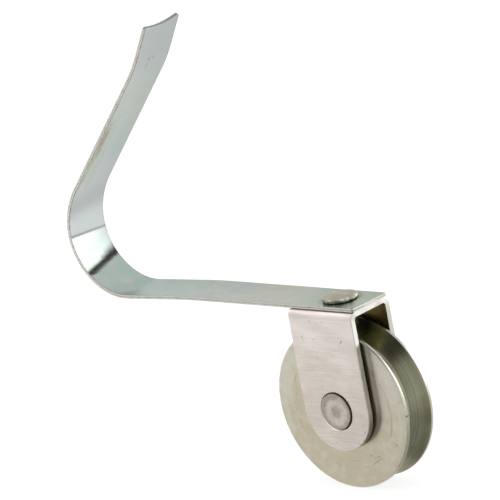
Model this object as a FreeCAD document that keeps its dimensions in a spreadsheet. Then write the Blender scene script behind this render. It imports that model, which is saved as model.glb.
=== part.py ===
import FreeCAD, Part
import enum
import math
import os

import Sketcher

# Spring-tension V-groove roller for a sliding screen door, in millimetres and degrees.
# The origin is the middle of the wheel, the axle lies along Y and the spring arm reaches towards -X.

SIZES = {
    # wheel
    "wheel_dia": 38.1,
    "wheel_width": 9.2,
    "rim_land": 0.8,
    "rim_chamfer": 0.25,
    "groove_angle": 80.0,
    "groove_root_width": 1.2,
    "hub_boss_dia": 15.0,
    "hub_side_play": 0.12,
    # clevis, folded from one strip
    "cheek_gap": 10.6,
    "cheek_width": 19.05,
    "sheet_thickness": 1.37,
    "fold_radius": 0.7,
    "wheel_to_web": 3.43,
    "sheet_edge_break": 0.2,
    # axle pin
    "journal_dia": 12.0,
    "running_clearance": 0.05,
    "axle_end_dia": 8.8,
    "axle_end_proud": 0.3,
    "axle_end_chamfer": 0.2,
    # spring arm, from the clevis end to the tip along its concave side
    "arm_width": 11.7,
    "arm_thickness": 0.85,
    "arm_overhang": 0.4,
    "seat_length": 47.0,
    "droop_radius": 165.0,
    "droop_angle": 2.56,
    "droop_length": 15.5,
    "main_bend_radius": 13.7,
    "main_bend_angle": 113.8,
    "easing_radius": 21.1,
    "easing_angle": 19.75,
    "upper_length": 35.6,
    "tip_bend_radius": 41.3,
    "tip_bend_angle": 10.0,
    "tip_length": 8.7,
    "tip_hollow_depth": 0.95,
    "arm_corner_round": 0.5,
    "arm_edge_break": 0.15,
    # arm rivet
    "rivet_offset": 1.2,
    "rivet_shank_dia": 4.8,
    "rivet_head_dia": 8.4,
    "rivet_head_height": 1.05,
    "rivet_crown": 0.2,
    "rivet_rim_chamfer": 0.3,
    "rivet_undercut": 0.2,
    "rivet_tail_dia": 7.0,
    "rivet_tail_height": 1.1,
    "rivet_tail_chamfer": 0.5,
}


class SketchLine(enum.IntEnum):
    """Sketcher's own numbers for a sketch's axes and the first edge taken from outside it."""

    H_AXIS = -1
    V_AXIS = -2
    FIRST_EXTERNAL = -3


class EdgePoint(enum.IntEnum):
    """Sketcher's own numbers for the points of an edge."""

    START = 1
    END = 2
    CENTRE = 3


class Sense(enum.IntEnum):
    """The way an arc or a bend turns."""

    LEFT = 1
    RIGHT = -1


ROOT = (SketchLine.H_AXIS, EdgePoint.START)
UP = FreeCAD.Vector(0, 0, 1)
NEARLY = Part.Precision.confusion()


class Measure:
    """A number together with the sheet formula that gives it."""

    def __init__(self, value, formula):
        self.value = value
        self.formula = formula

    def __add__(self, other):
        other = measured(other)
        return Measure(self.value + other.value, f"({self.formula} + {other.formula})")

    def __sub__(self, other):
        other = measured(other)
        return Measure(self.value - other.value, f"({self.formula} - {other.formula})")

    def __mul__(self, other):
        other = measured(other)
        return Measure(self.value * other.value, f"({self.formula} * {other.formula})")

    def __truediv__(self, other):
        other = measured(other)
        return Measure(self.value / other.value, f"({self.formula} / {other.formula})")

    def __neg__(self):
        return Measure(-self.value, f"(-1 * {self.formula})")


def measured(term):
    """Give a plain number as a measure, and a measure as it is."""
    if isinstance(term, Measure):
        return term
    return Measure(float(term), str(term))


def size(alias):
    """Read one driving dimension from the sheet."""
    return Measure(float(sheet.get(alias)), f"sizes.{alias}")


def tangent(angle):
    return Measure(math.tan(math.radians(angle.value)), f"tan({angle.formula})")


class Arc:
    """A round stretch of an outline: radius and sense, and for a half circle the axis its centre is on."""

    def __init__(self, radius, sense, centre_axis=None):
        self.radius = radius
        self.sense = sense
        self.centre_axis = centre_axis


def flat(x, y):
    """A point in a sketch's own plane."""
    return FreeCAD.Vector(x, y, 0)


def arc_edge(first, last, radius, sense):
    """An arc of at most half a turn from one point to another, turning left or right."""
    chord = last - first
    rise = math.sqrt(max(radius ** 2 - (chord.Length / 2) ** 2, 0))
    across = flat(-chord.y, chord.x).normalize()
    centre = (first + last) / 2 + across * (rise * sense)
    begin, finish = (first, last) if sense == Sense.LEFT else (last, first)
    angles = [math.atan2(point.y - centre.y, point.x - centre.x) for point in (begin, finish)]
    return Part.ArcOfCircle(Part.Circle(centre, UP, radius), *angles)


def way_points(edge_sense):
    """Which ends of an edge come first and last along the outline: an arc always runs counter-clockwise."""
    ends = (EdgePoint.START, EdgePoint.END)
    return ends[::-1] if edge_sense == Sense.RIGHT else ends


def bind(sketch, constraint, formula):
    """Add a constraint whose value follows a sheet formula."""
    index = sketch.addConstraint(constraint)
    sketch.setExpression(f"Constraints[{index}]", formula)


def pin(sketch, edge, point, x, y):
    """Hold a point of an edge at two measures from the root point, or on an axis where a measure is 0."""
    for kind, axis, offset in (("DistanceX", SketchLine.V_AXIS, x), ("DistanceY", SketchLine.H_AXIS, y)):
        if isinstance(offset, Measure):
            bind(sketch, Sketcher.Constraint(kind, *ROOT, edge, point, offset.value), offset.formula)
        else:
            sketch.addConstraint(Sketcher.Constraint("PointOnObject", edge, point, axis))


def outline(sketch, *steps):
    """Draw a closed outline through corners, given as pairs, with an Arc between two where it is round."""
    corners = [step for step in steps if not isinstance(step, Arc)]
    arcs = {}
    for place, step in enumerate(steps):
        if isinstance(step, Arc):
            arcs[len([item for item in steps[:place] if not isinstance(item, Arc)]) - 1] = step
    points = [flat(measured(x).value, measured(y).value) for x, y in corners]
    edges = []
    for place, first in enumerate(points):
        last = points[(place + 1) % len(points)]
        arc = arcs.get(place)
        if arc:
            geometry = arc_edge(first, last, arc.radius.value, arc.sense)
        else:
            geometry = Part.LineSegment(first, last)
        edges.append((sketch.addGeometry(geometry, False), arc))
    for place, (edge, arc) in enumerate(edges):
        next_edge, next_arc = edges[(place + 1) % len(edges)]
        begin, finish = way_points(arc.sense if arc else Sense.LEFT)
        next_begin = way_points(next_arc.sense if next_arc else Sense.LEFT)[0]
        sketch.addConstraint(Sketcher.Constraint("Coincident", edge, finish, next_edge, next_begin))
        pin(sketch, edge, begin, *corners[place])
        if arc and arc.centre_axis:
            on_axis = Sketcher.Constraint("PointOnObject", edge, EdgePoint.CENTRE, arc.centre_axis)
            sketch.addConstraint(on_axis)
        elif arc:
            bind(sketch, Sketcher.Constraint("Radius", edge, arc.radius.value), arc.radius.formula)


def new_body(label):
    body = document.addObject("PartDesign::Body", label)
    body.Label = label
    return body


def new_sketch(body, role, name):
    """Start a sketch on one of the body's own origin planes."""
    plane = next(item for item in body.Origin.OriginFeatures if item.Role == role)
    sketch = body.newObject("Sketcher::SketchObject", name)
    sketch.AttachmentSupport = [(plane, "")]
    sketch.MapMode = "FlatFace"
    return sketch


def pad_across(body, sketch, name, length):
    """Thicken an outline evenly to both sides of its plane."""
    pad = body.newObject("PartDesign::Pad", name)
    pad.Profile = sketch
    pad.SideType = "Symmetric"
    pad.setExpression("Length", length.formula)
    document.recompute()


def cut_through(body, sketch, name):
    """Cut an outline right through the body, to both sides of its plane."""
    before = body.Shape.Volume
    pocket = body.newObject("PartDesign::Pocket", name)
    pocket.Profile = sketch
    pocket.Type = "ThroughAll"
    pocket.SideType = "Symmetric"
    document.recompute()
    must_have_cut(body, before, name)


def must_have_cut(body, before, name):
    if not body.Shape.Volume < before:
        raise RuntimeError(f"{name} removed nothing from {body.Label}")


def drill(body, role, name, diameter, x=0):
    """Drill a round hole through the body, across one of its origin planes."""
    sketch = new_sketch(body, role, f"{name}_circle")
    radius = diameter.value / 2
    edge = sketch.addGeometry(Part.Circle(flat(measured(x).value, 0), UP, radius), False)
    pin(sketch, edge, EdgePoint.CENTRE, x, 0)
    bind(sketch, Sketcher.Constraint("Diameter", edge, diameter.value), diameter.formula)
    cut_through(body, sketch, name)


def is_line_along(edge, direction):
    """Whether an edge is straight and runs along a direction."""
    return edge.Curve.TypeId == "Part::GeomLine" and edge.Curve.Direction.cross(direction).Length < NEARLY


def lies_at(edge, axis, place):
    """Whether both ends of an edge lie at one place along an axis."""
    return all(abs(getattr(vertex.Point, axis) - place) < NEARLY for vertex in edge.Vertexes)


def edges_where(feature, wanted):
    """The names of a feature's edges that pass a test."""
    return [f"Edge{number}" for number, edge in enumerate(feature.Shape.Edges, 1) if wanted(edge)]


def treat_edges(body, kind, name, edges, dimension, amount):
    """Fillet or chamfer some edges of the body, and the edges that carry on smoothly from those."""
    before = body.Shape.Volume
    stock = body.Tip
    treatment = body.newObject(kind, name)
    treatment.Base = (stock, edges)
    treatment.setExpression(dimension, amount.formula)
    document.recompute()
    must_have_cut(body, before, name)


def round_edges(body, name, edges, radius):
    treat_edges(body, "PartDesign::Fillet", name, edges, "Radius", radius)


def break_edges(body, name, edges, width):
    treat_edges(body, "PartDesign::Chamfer", name, edges, "Size", width)


def turn(body, sketch, name, axis):
    """Turn an outline all the way round one of its sketch's axes."""
    turning = body.newObject("PartDesign::Revolution", name)
    turning.Profile = sketch
    turning.ReferenceAxis = (sketch, [axis])
    document.recompute()


def make_wheel():
    """Turned wheel: flat faces with a low hub boss, narrow rim lands and one V groove with a flat root."""
    body = new_body("wheel")
    rim = size("wheel_dia") / 2
    face = size("wheel_width") / 2
    chamfer = size("rim_chamfer")
    mouth = face - size("rim_land")
    boss = size("hub_boss_dia") / 2
    bore = size("journal_dia") / 2 + size("running_clearance")
    hub = size("cheek_gap") / 2 - size("hub_side_play")
    flank = size("groove_angle") / 2
    root = size("groove_root_width") / 2
    depth = (mouth - root) / tangent(flank)
    sketch = new_sketch(body, "XY_Plane", "wheel_section")
    outline(
        sketch,
        (bore, -hub),
        (boss, -hub),
        (boss, -face),
        (rim - chamfer, -face),
        (rim, chamfer - face),
        (rim, -mouth),
        (rim - depth, -root),
        (rim - depth, root),
        (rim, mouth),
        (rim, face - chamfer),
        (rim - chamfer, face),
        (boss, face),
        (boss, hub),
        (bore, hub),
    )
    turn(body, sketch, "wheel_turning", "V_Axis")
    return body


def make_clevis():
    """Fork folded from one strip: two cheeks with round lower ends and a flat web under the arm."""
    body = new_body("clevis")
    sheet_metal = size("sheet_thickness")
    inside = size("cheek_gap") / 2
    outside = inside + sheet_metal
    ceiling = size("wheel_dia") / 2 + size("wheel_to_web")
    top = ceiling + sheet_metal
    inner_bend = size("fold_radius")
    outer_bend = inner_bend + sheet_metal
    cheek_end = size("cheek_width") / 2
    fold = new_sketch(body, "YZ_Plane", "clevis_fold")
    outline(
        fold,
        (-outside, -cheek_end),
        (-inside, -cheek_end),
        (-inside, ceiling - inner_bend),
        Arc(inner_bend, Sense.RIGHT),
        (inner_bend - inside, ceiling),
        (inside - inner_bend, ceiling),
        Arc(inner_bend, Sense.RIGHT),
        (inside, ceiling - inner_bend),
        (inside, -cheek_end),
        (outside, -cheek_end),
        (outside, top - outer_bend),
        Arc(outer_bend, Sense.LEFT),
        (outside - outer_bend, top),
        (outer_bend - outside, top),
        Arc(outer_bend, Sense.LEFT),
        (-outside, top - outer_bend),
    )
    pad_across(body, fold, "clevis_strip", size("cheek_width"))
    # The waste below the round cheek ends stands one sheet past the strip.
    waste = cheek_end + sheet_metal
    corners = new_sketch(body, "XZ_Plane", "cheek_corners")
    outline(
        corners,
        (-cheek_end, 0),
        Arc(cheek_end, Sense.LEFT, SketchLine.H_AXIS),
        (cheek_end, 0),
        (waste, 0),
        (waste, -waste),
        (-waste, -waste),
        (-waste, 0),
    )
    cut_through(body, corners, "cheek_rounding")
    # The straight cheek edges lead the chamfer along the blanked edge all round the outer side of the fold.
    straight = edges_where(
        body.Tip, lambda edge: is_line_along(edge, UP) and lies_at(edge, "y", -outside.value)
    )
    break_edges(body, "sheet_edges", straight, size("sheet_edge_break"))
    drill(body, "XZ_Plane", "axle_holes", size("axle_end_dia"))
    drill(body, "XY_Plane", "rivet_hole", size("rivet_shank_dia"), size("rivet_offset"))
    return body


def make_axle():
    """Shouldered pin: a journal between the cheeks and two ends spun over just proud of them."""
    body = new_body("axle")
    journal = size("journal_dia") / 2
    end = size("axle_end_dia") / 2
    shoulder = size("cheek_gap") / 2
    reach = shoulder + size("sheet_thickness") + size("axle_end_proud")
    chamfer = size("axle_end_chamfer")
    sketch = new_sketch(body, "XY_Plane", "axle_section")
    outline(
        sketch,
        (0, -reach),
        (end - chamfer, -reach),
        (end, chamfer - reach),
        (end, -shoulder),
        (journal, -shoulder),
        (journal, shoulder),
        (end, shoulder),
        (end, reach - chamfer),
        (end - chamfer, reach),
        (0, reach),
    )
    turn(body, sketch, "axle_turning", "V_Axis")
    return body


def make_rivet():
    """Rivet through arm and web: a low crowned head on the arm and a closed end under the web."""
    body = new_body("arm_rivet")
    shank = size("rivet_shank_dia") / 2
    head = size("rivet_head_dia") / 2
    height = size("rivet_head_height")
    crown = size("rivet_crown")
    rim_chamfer = size("rivet_rim_chamfer")
    undercut = size("rivet_undercut")
    tail = size("rivet_tail_dia") / 2
    tail_chamfer = size("rivet_tail_chamfer")
    grip = size("arm_thickness") + size("sheet_thickness")
    below = grip + size("rivet_tail_height")
    crown_edge = head - rim_chamfer
    crown_radius = (crown_edge * crown_edge + crown * crown) / (crown * 2)
    sketch = new_sketch(body, "XZ_Plane", "rivet_section")
    outline(
        sketch,
        (0, -below),
        (tail - tail_chamfer, -below),
        (tail, tail_chamfer - below),
        (tail, -grip),
        (shank, -grip),
        (shank, 0),
        (head - undercut, 0),
        (head, undercut),
        (head, height - crown - rim_chamfer),
        (crown_edge, height - crown),
        Arc(crown_radius, Sense.LEFT),
        (0, height),
    )
    turn(body, sketch, "rivet_turning", "V_Axis")
    arm_top = size("wheel_dia") / 2 + size("wheel_to_web") + grip
    body.setExpression("Placement.Base.x", size("rivet_offset").formula)
    body.setExpression("Placement.Base.z", arm_top.formula)
    return body


class Straight:
    """A straight stretch of the arm."""

    def __init__(self, length):
        self.length = length


class Bend:
    """A bend of the arm: its radius on the concave side of the arm, its angle and its sense."""

    def __init__(self, radius, angle, sense):
        self.radius = radius
        self.angle = angle
        self.sense = sense


def walk(start, course, offset):
    """Lay the arm's stretches one after another from a start heading to -X, at an offset to their left."""
    heading = math.pi
    point = start
    edges = []
    for stretch in course:
        ahead = flat(math.cos(heading), math.sin(heading))
        left = flat(-ahead.y, ahead.x)
        first = point + left * offset
        if isinstance(stretch, Straight):
            point = point + ahead * stretch.length.value
            edges.append(Part.LineSegment(first, point + left * offset))
            continue
        centre = point + left * (stretch.sense * stretch.radius.value)
        angle = stretch.sense * math.radians(stretch.angle.value)
        spin = FreeCAD.Rotation(UP, math.degrees(angle))
        point = centre + spin.multVec(point - centre)
        last = point + spin.multVec(left) * offset
        heading += angle
        edges.append(arc_edge(first, last, (first - centre).Length, stretch.sense))
    return edges


def ends_of(stretch):
    """Which ends of a stretch's edge come first and last along the arm."""
    return way_points(stretch.sense if isinstance(stretch, Bend) else Sense.LEFT)


def draw_arm_side(sketch, start, course, thickness):
    """Draw the arm's side view: its concave side, the same stretches one thickness out, and both ends."""
    point = flat(start[0].value, start[1].value)
    chains = []
    for offset in (0, thickness.value):
        chains.append([sketch.addGeometry(edge, False) for edge in walk(point, course, offset)])
    inner, outer = chains
    for chain in chains:
        for place in range(len(course) - 1):
            leaving = ends_of(course[place])[1]
            entering = ends_of(course[place + 1])[0]
            sketch.addConstraint(
                Sketcher.Constraint("Tangent", chain[place], leaving, chain[place + 1], entering)
            )
    for stretch, inside, outside in zip(course, inner, outer):
        if isinstance(stretch, Straight):
            length = stretch.length
            bind(sketch, Sketcher.Constraint("Distance", inside, length.value), length.formula)
            sketch.addConstraint(Sketcher.Constraint("Parallel", inside, outside))
        else:
            angle = math.radians(stretch.angle.value)
            radius = stretch.radius
            bind(sketch, Sketcher.Constraint("Radius", inside, radius.value), radius.formula)
            bind(sketch, Sketcher.Constraint("Angle", inside, angle), stretch.angle.formula)
            centres = (inside, EdgePoint.CENTRE, outside, EdgePoint.CENTRE)
            sketch.addConstraint(Sketcher.Constraint("Coincident", *centres))
    pin(sketch, inner[0], EdgePoint.START, *start)
    sketch.addConstraint(Sketcher.Constraint("Horizontal", inner[0]))
    closing = []
    for place, point in ((0, EdgePoint.START), (-1, EdgePoint.END)):
        corners = [sketch.getPoint(chain[place], point) for chain in chains]
        end = sketch.addGeometry(Part.LineSegment(*corners), False)
        sketch.addConstraint(Sketcher.Constraint("Coincident", end, EdgePoint.START, inner[place], point))
        sketch.addConstraint(Sketcher.Constraint("Coincident", end, EdgePoint.END, outer[place], point))
        sketch.addConstraint(Sketcher.Constraint("Perpendicular", end, inner[place]))
        closing.append(end)
    bind(sketch, Sketcher.Constraint("Distance", closing[0], thickness.value), thickness.formula)
    return closing[1]


def edge_name(sketch, edge):
    """The name that an edge of a sketch has in the sketch's shape."""
    first, last = [sketch.getPoint(edge, point) for point in (EdgePoint.START, EdgePoint.END)]
    middle = sketch.Placement.multVec((first + last) / 2)
    distances = [shown.CenterOfMass.distanceToPoint(middle) for shown in sketch.Shape.Edges]
    return f"Edge{distances.index(min(distances)) + 1}"


def hollow_tip(body, side_view, tip_end):
    """Cut the tip to a hollow arc across the arm's width, square to the flat of the tip."""
    width = size("arm_width")
    depth = size("tip_hollow_depth")
    thickness = size("arm_thickness")
    radius = (width * width / 4 + depth * depth) / (depth * 2)
    ahead = radius - depth
    inner, outer = [side_view.getPoint(tip_end, point) for point in (EdgePoint.START, EdgePoint.END)]
    across = (outer - inner).normalize()
    onward = flat(across.y, -across.x)
    near = inner - across * thickness.value
    far = outer + across * thickness.value
    sketch = new_sketch(body, "XZ_Plane", "tip_cutter")
    sketch.addExternal(side_view.Name, edge_name(side_view, tip_end))
    corners = [
        near - onward * depth.value,
        far - onward * depth.value,
        far + onward * ahead.value,
        near + onward * ahead.value,
    ]
    edges = [
        sketch.addGeometry(Part.LineSegment(first, last), False)
        for first, last in zip(corners, corners[1:] + corners[:1])
    ]
    back, far_side, middle, near_side = edges
    for first, last in zip(edges, edges[1:] + edges[:1]):
        sketch.addConstraint(Sketcher.Constraint("Coincident", first, EdgePoint.END, last, EdgePoint.START))
    sketch.addConstraint(Sketcher.Constraint("Parallel", back, SketchLine.FIRST_EXTERNAL))
    sketch.addConstraint(Sketcher.Constraint("Parallel", middle, SketchLine.FIRST_EXTERNAL))
    sketch.addConstraint(Sketcher.Constraint("Perpendicular", near_side, SketchLine.FIRST_EXTERNAL))
    sketch.addConstraint(Sketcher.Constraint("Perpendicular", far_side, SketchLine.FIRST_EXTERNAL))
    for point, edge, distance in (
        (EdgePoint.START, back, depth),
        (EdgePoint.START, middle, ahead),
        (EdgePoint.START, near_side, thickness),
        (EdgePoint.END, far_side, thickness),
    ):
        bind(
            sketch,
            Sketcher.Constraint("Distance", SketchLine.FIRST_EXTERNAL, point, edge, distance.value),
            distance.formula,
        )
    document.recompute()
    before = body.Shape.Volume
    groove = body.newObject("PartDesign::Groove", "tip_hollow")
    groove.Profile = sketch
    groove.ReferenceAxis = (sketch, [edge_name(sketch, middle)])
    document.recompute()
    must_have_cut(body, before, "tip_hollow")


def make_arm():
    """Spring arm: a strip that droops from the clevis, turns back in a wide bend and ends in a set tip."""
    body = new_body("spring_arm")
    thickness = size("arm_thickness")
    web_top = size("wheel_dia") / 2 + size("wheel_to_web") + size("sheet_thickness")
    start = (size("cheek_width") / 2 + size("arm_overhang"), web_top + thickness)
    course = [
        Straight(size("seat_length")),
        Bend(size("droop_radius"), size("droop_angle"), Sense.LEFT),
        Straight(size("droop_length")),
        Bend(size("main_bend_radius"), size("main_bend_angle"), Sense.RIGHT),
        Bend(size("easing_radius"), size("easing_angle"), Sense.RIGHT),
        Straight(size("upper_length")),
        Bend(size("tip_bend_radius"), size("tip_bend_angle"), Sense.LEFT),
        Straight(size("tip_length")),
    ]
    side_view = new_sketch(body, "XZ_Plane", "arm_side")
    tip_end = draw_arm_side(side_view, start, course, thickness)
    pad_across(body, side_view, "arm_strip", size("arm_width"))
    hollow_tip(body, side_view, tip_end)
    corners = edges_where(body.Tip, lambda edge: abs(edge.Length - thickness.value) < NEARLY)
    round_edges(body, "arm_corners", corners, size("arm_corner_round"))
    # The straight edges of the upper leg lead the chamfer all round both broad sides of the strip.
    upper = size("upper_length").value
    long_edges = edges_where(body.Tip, lambda edge: abs(edge.Length - upper) < NEARLY)
    break_edges(body, "arm_edges", long_edges, size("arm_edge_break"))
    drill(body, "XY_Plane", "arm_hole", size("rivet_shank_dia"), size("rivet_offset"))
    return body


def make_sheet():
    """Put the driving dimensions into the document's sheet, one named cell each."""
    cells = document.addObject("Spreadsheet::Sheet", "sizes")
    for row, (alias, value) in enumerate(SIZES.items(), 1):
        cells.set(f"A{row}", alias)
        cells.set(f"B{row}", str(value))
        cells.setAlias(f"B{row}", alias)
    document.recompute()
    return cells


def check(pieces):
    """Stop if any object of the document failed or any piece isn't one sound solid."""
    for item in document.Objects:
        if "Invalid" in item.State or "Error" in item.State:
            raise RuntimeError(f"{item.Label} failed: {item.State}")
    for piece in pieces:
        shape = piece.Shape
        if shape.isNull() or not shape.isValid() or len(shape.Solids) != 1:
            raise RuntimeError(f"{piece.Label} is not one sound solid")


document = FreeCAD.newDocument("v_groove_roller")
sheet = make_sheet()
roller = [make_arm(), make_clevis(), make_rivet(), make_axle(), make_wheel()]
document.recompute()
check(roller)
os.makedirs("parts", exist_ok=True)
for piece in roller:
    piece.Shape.exportStep(os.path.join("parts", f"{piece.Label}.step"))
    print(f"{piece.Label}: {piece.Shape.Volume:.2f} mm3")
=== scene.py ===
import logging
import math
from dataclasses import dataclass, field, replace
from enum import Enum
from typing import Iterable, Optional, Sequence, Union

import bpy
from mathutils import Matrix, Vector, noise
from mathutils.geometry import delaunay_2d_cdt


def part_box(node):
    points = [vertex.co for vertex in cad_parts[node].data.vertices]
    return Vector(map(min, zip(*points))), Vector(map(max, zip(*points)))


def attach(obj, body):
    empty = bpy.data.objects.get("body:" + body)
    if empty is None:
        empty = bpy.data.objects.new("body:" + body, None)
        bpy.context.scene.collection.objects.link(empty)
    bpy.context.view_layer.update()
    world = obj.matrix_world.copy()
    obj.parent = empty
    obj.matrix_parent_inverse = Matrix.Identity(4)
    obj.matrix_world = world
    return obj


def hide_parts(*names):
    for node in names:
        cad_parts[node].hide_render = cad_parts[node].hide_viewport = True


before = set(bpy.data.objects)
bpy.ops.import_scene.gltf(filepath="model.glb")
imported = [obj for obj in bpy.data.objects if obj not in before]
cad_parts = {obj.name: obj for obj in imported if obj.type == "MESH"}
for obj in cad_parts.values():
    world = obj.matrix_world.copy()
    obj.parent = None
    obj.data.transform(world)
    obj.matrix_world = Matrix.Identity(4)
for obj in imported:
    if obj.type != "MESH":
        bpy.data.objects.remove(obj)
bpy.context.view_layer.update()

# Door roller with a spring arm, dressed in the frame of its solids.
# The axle lies along Y and the arm reaches to -X.

LOG = logging.getLogger("door_roller")
MM = 0.001
PLACE = "sheet_place"
SAME_POINT = 0.001 * MM
X_AXIS = Vector((1, 0, 0))
Y_AXIS = Vector((0, 1, 0))
Z_AXIS = Vector((0, 0, 1))

Colour = tuple[float, float, float, float]
Plane = tuple[float, float]
Span = tuple[float, ...]


def mm(*sizes: float) -> Span:
    """Turn millimetres into metres."""
    return tuple(size * MM for size in sizes)


class Sense(Enum):
    """The way a bend turns, seen along the way it is walked."""

    LEFT = 1
    RIGHT = -1


class Body(Enum):
    """The moving bodies of the roller."""

    FORK = "fork"
    ROLLER = "roller"


class Node(Enum):
    """The solids that the dressed pieces stand for."""

    ARM = "spring_arm"
    CLEVIS = "clevis"
    RIVET = "arm_rivet"
    AXLE = "axle"
    WHEEL = "wheel"


class Slot(Enum):
    """The record's finishes."""

    ARM = "zinc_spring_strip"
    CLEVIS = "zinc_folded_sheet"
    RIVET = "rivet_steel"
    AXLE = "axle_steel"
    WHEEL = "turned_wheel_steel"


# Shapes: folded sheets and turned pieces with true normals


@dataclass(frozen=True)
class Straight:
    """A flat stretch of a folded sheet."""

    length: float


@dataclass(frozen=True)
class Bend:
    """A bend of a folded sheet: its radius on the reference side, its angle in degrees and its sense."""

    radius: float
    angle: float
    sense: Sense

    @property
    def length(self) -> float:
        """Length of the bend along the reference side."""
        return self.radius * math.radians(self.angle)


Stretch = Union[Straight, Bend]


@dataclass(frozen=True)
class SheetFrame:
    """A place on a folded sheet's reference side, with the directions along, across and out of it."""

    point: Vector
    along: Vector
    across: Vector
    out: Vector


class FoldPath:
    """The side view of a folded sheet: straights and bends walked one after another in one plane."""

    bend_step: float = 1.5

    def __init__(self, start: Plane, heading: float, course: Sequence[Stretch],
                 axes: tuple[Vector, Vector]) -> None:
        """Lay the course out.

        Args:
            start: First point of the reference side, in the plane's two axes.
            heading: Direction of the first stretch in degrees, from the first axis to the second.
            course: Stretches in the order they are walked.
            axes: The plane's two axes in the frame of the solids.
        """
        self.axes = axes
        self.legs: list[tuple[float, Stretch, Vector, float]] = []
        place, point, turned = 0.0, Vector(start), math.radians(heading)
        for stretch in course:
            self.legs.append((place, stretch, point, turned))
            point, turned = self._walk(stretch, point, turned, stretch.length)
            place += stretch.length
        self.length = place

    @staticmethod
    def _walk(stretch: Stretch, point: Vector, heading: float, distance: float) -> tuple[Vector, float]:
        """Walk some way along one stretch.

        Args:
            stretch: The stretch that is walked.
            point: Where it starts in the plane.
            heading: Its first direction in radians.
            distance: How far to walk.

        Returns:
            The point reached and the direction there.
        """
        ahead = Vector((math.cos(heading), math.sin(heading)))
        if isinstance(stretch, Straight):
            return point + ahead * distance, heading
        arm = Vector((-ahead.y, ahead.x)) * (stretch.sense.value * stretch.radius)
        turn = stretch.sense.value * distance / stretch.radius
        return point + arm + Matrix.Rotation(turn, 2) @ -arm, heading + turn

    def stations(self) -> list[float]:
        """Find where the sheet's curve needs a crease line across it.

        Returns:
            Places along the sheet, without its start.
        """
        places = []
        for place, stretch, _, _ in self.legs:
            steps = math.ceil(stretch.angle / self.bend_step) if isinstance(stretch, Bend) else 1
            places += [place + stretch.length * step / steps for step in range(steps)]
        return places[1:]

    def frame_at(self, place: float) -> SheetFrame:
        """Find the sheet's directions at a place along it.

        Args:
            place: Distance from the sheet's start along its reference side.

        Returns:
            The frame of the sheet there, facing out of the reference side.
        """
        begun = (leg for leg in reversed(self.legs) if leg[0] <= max(place, 0.0))
        first, stretch, point, heading = next(begun)
        point, heading = self._walk(stretch, point, heading, place - first)
        across_plane, up_plane = self.axes
        along = across_plane * math.cos(heading) + up_plane * math.sin(heading)
        out = across_plane * math.sin(heading) - up_plane * math.cos(heading)
        return SheetFrame(across_plane * point.x + up_plane * point.y, along, out.cross(along), out)


@dataclass(frozen=True)
class RimPoint:
    """A point of a sheet's outline on the flat sheet, with the way out of the metal there."""

    at: Vector
    out: Vector


class Rim:
    """One closed edge of a flat sheet, kept with the metal on its left."""

    arc_step: float = 6.0

    def __init__(self, rounding: float) -> None:
        """Start with no points and the round that softens the rim's two edges."""
        self.rounding = rounding
        self.points: list[RimPoint] = []

    @classmethod
    def hole(cls, centre: Plane, radius: float, rounding: float) -> "Rim":
        """Make the rim of a round hole.

        Args:
            centre: Middle of the hole.
            radius: Its radius.
            rounding: Round of its two edges.

        Returns:
            The hole's rim.
        """
        return cls(rounding).arc(centre, radius, 360.0, 0.0)

    def add(self, at: Vector, out: Vector) -> None:
        """Add one point unless the rim already ends or starts there.

        Args:
            at: The point on the flat sheet.
            out: The way out of the metal there.
        """
        ends = self.points[-1:] + self.points[:1]
        if all((point.at - at).length >= SAME_POINT for point in ends):
            self.points.append(RimPoint(at, out))

    def line(self, first: Plane, last: Plane, stops: Iterable[float] = ()) -> "Rim":
        """Run straight, with extra points at given places along the sheet.

        Args:
            first: Where the line starts.
            last: Where it ends.
            stops: Places along the sheet that also get a point, in any order.

        Returns:
            The rim itself.
        """
        begin, end = Vector(first), Vector(last)
        ahead = (end - begin).normalized()
        out = Vector((ahead.y, -ahead.x))
        shares = [(stop - begin.x) / (end.x - begin.x) for stop in stops]
        for share in [0.0, *sorted(share for share in shares if 0.0 < share < 1.0), 1.0]:
            self.add(begin.lerp(end, share), out)
        return self

    def arc(self, centre: Plane, radius: float, first: float, last: float) -> "Rim":
        """Run round an arc, convex where the angle grows and hollow where it falls.

        Args:
            centre: Middle of the arc.
            radius: Its radius.
            first: Angle of its first point in degrees.
            last: Angle of its last point in degrees.

        Returns:
            The rim itself.
        """
        steps = max(math.ceil(abs(last - first) / self.arc_step), 2)
        side = math.copysign(1.0, last - first)
        for step in range(steps + 1):
            angle = math.radians(first + (last - first) * step / steps)
            away = Vector((math.cos(angle), math.sin(angle)))
            self.add(Vector(centre) + away * radius, away * side)
        return self


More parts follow.
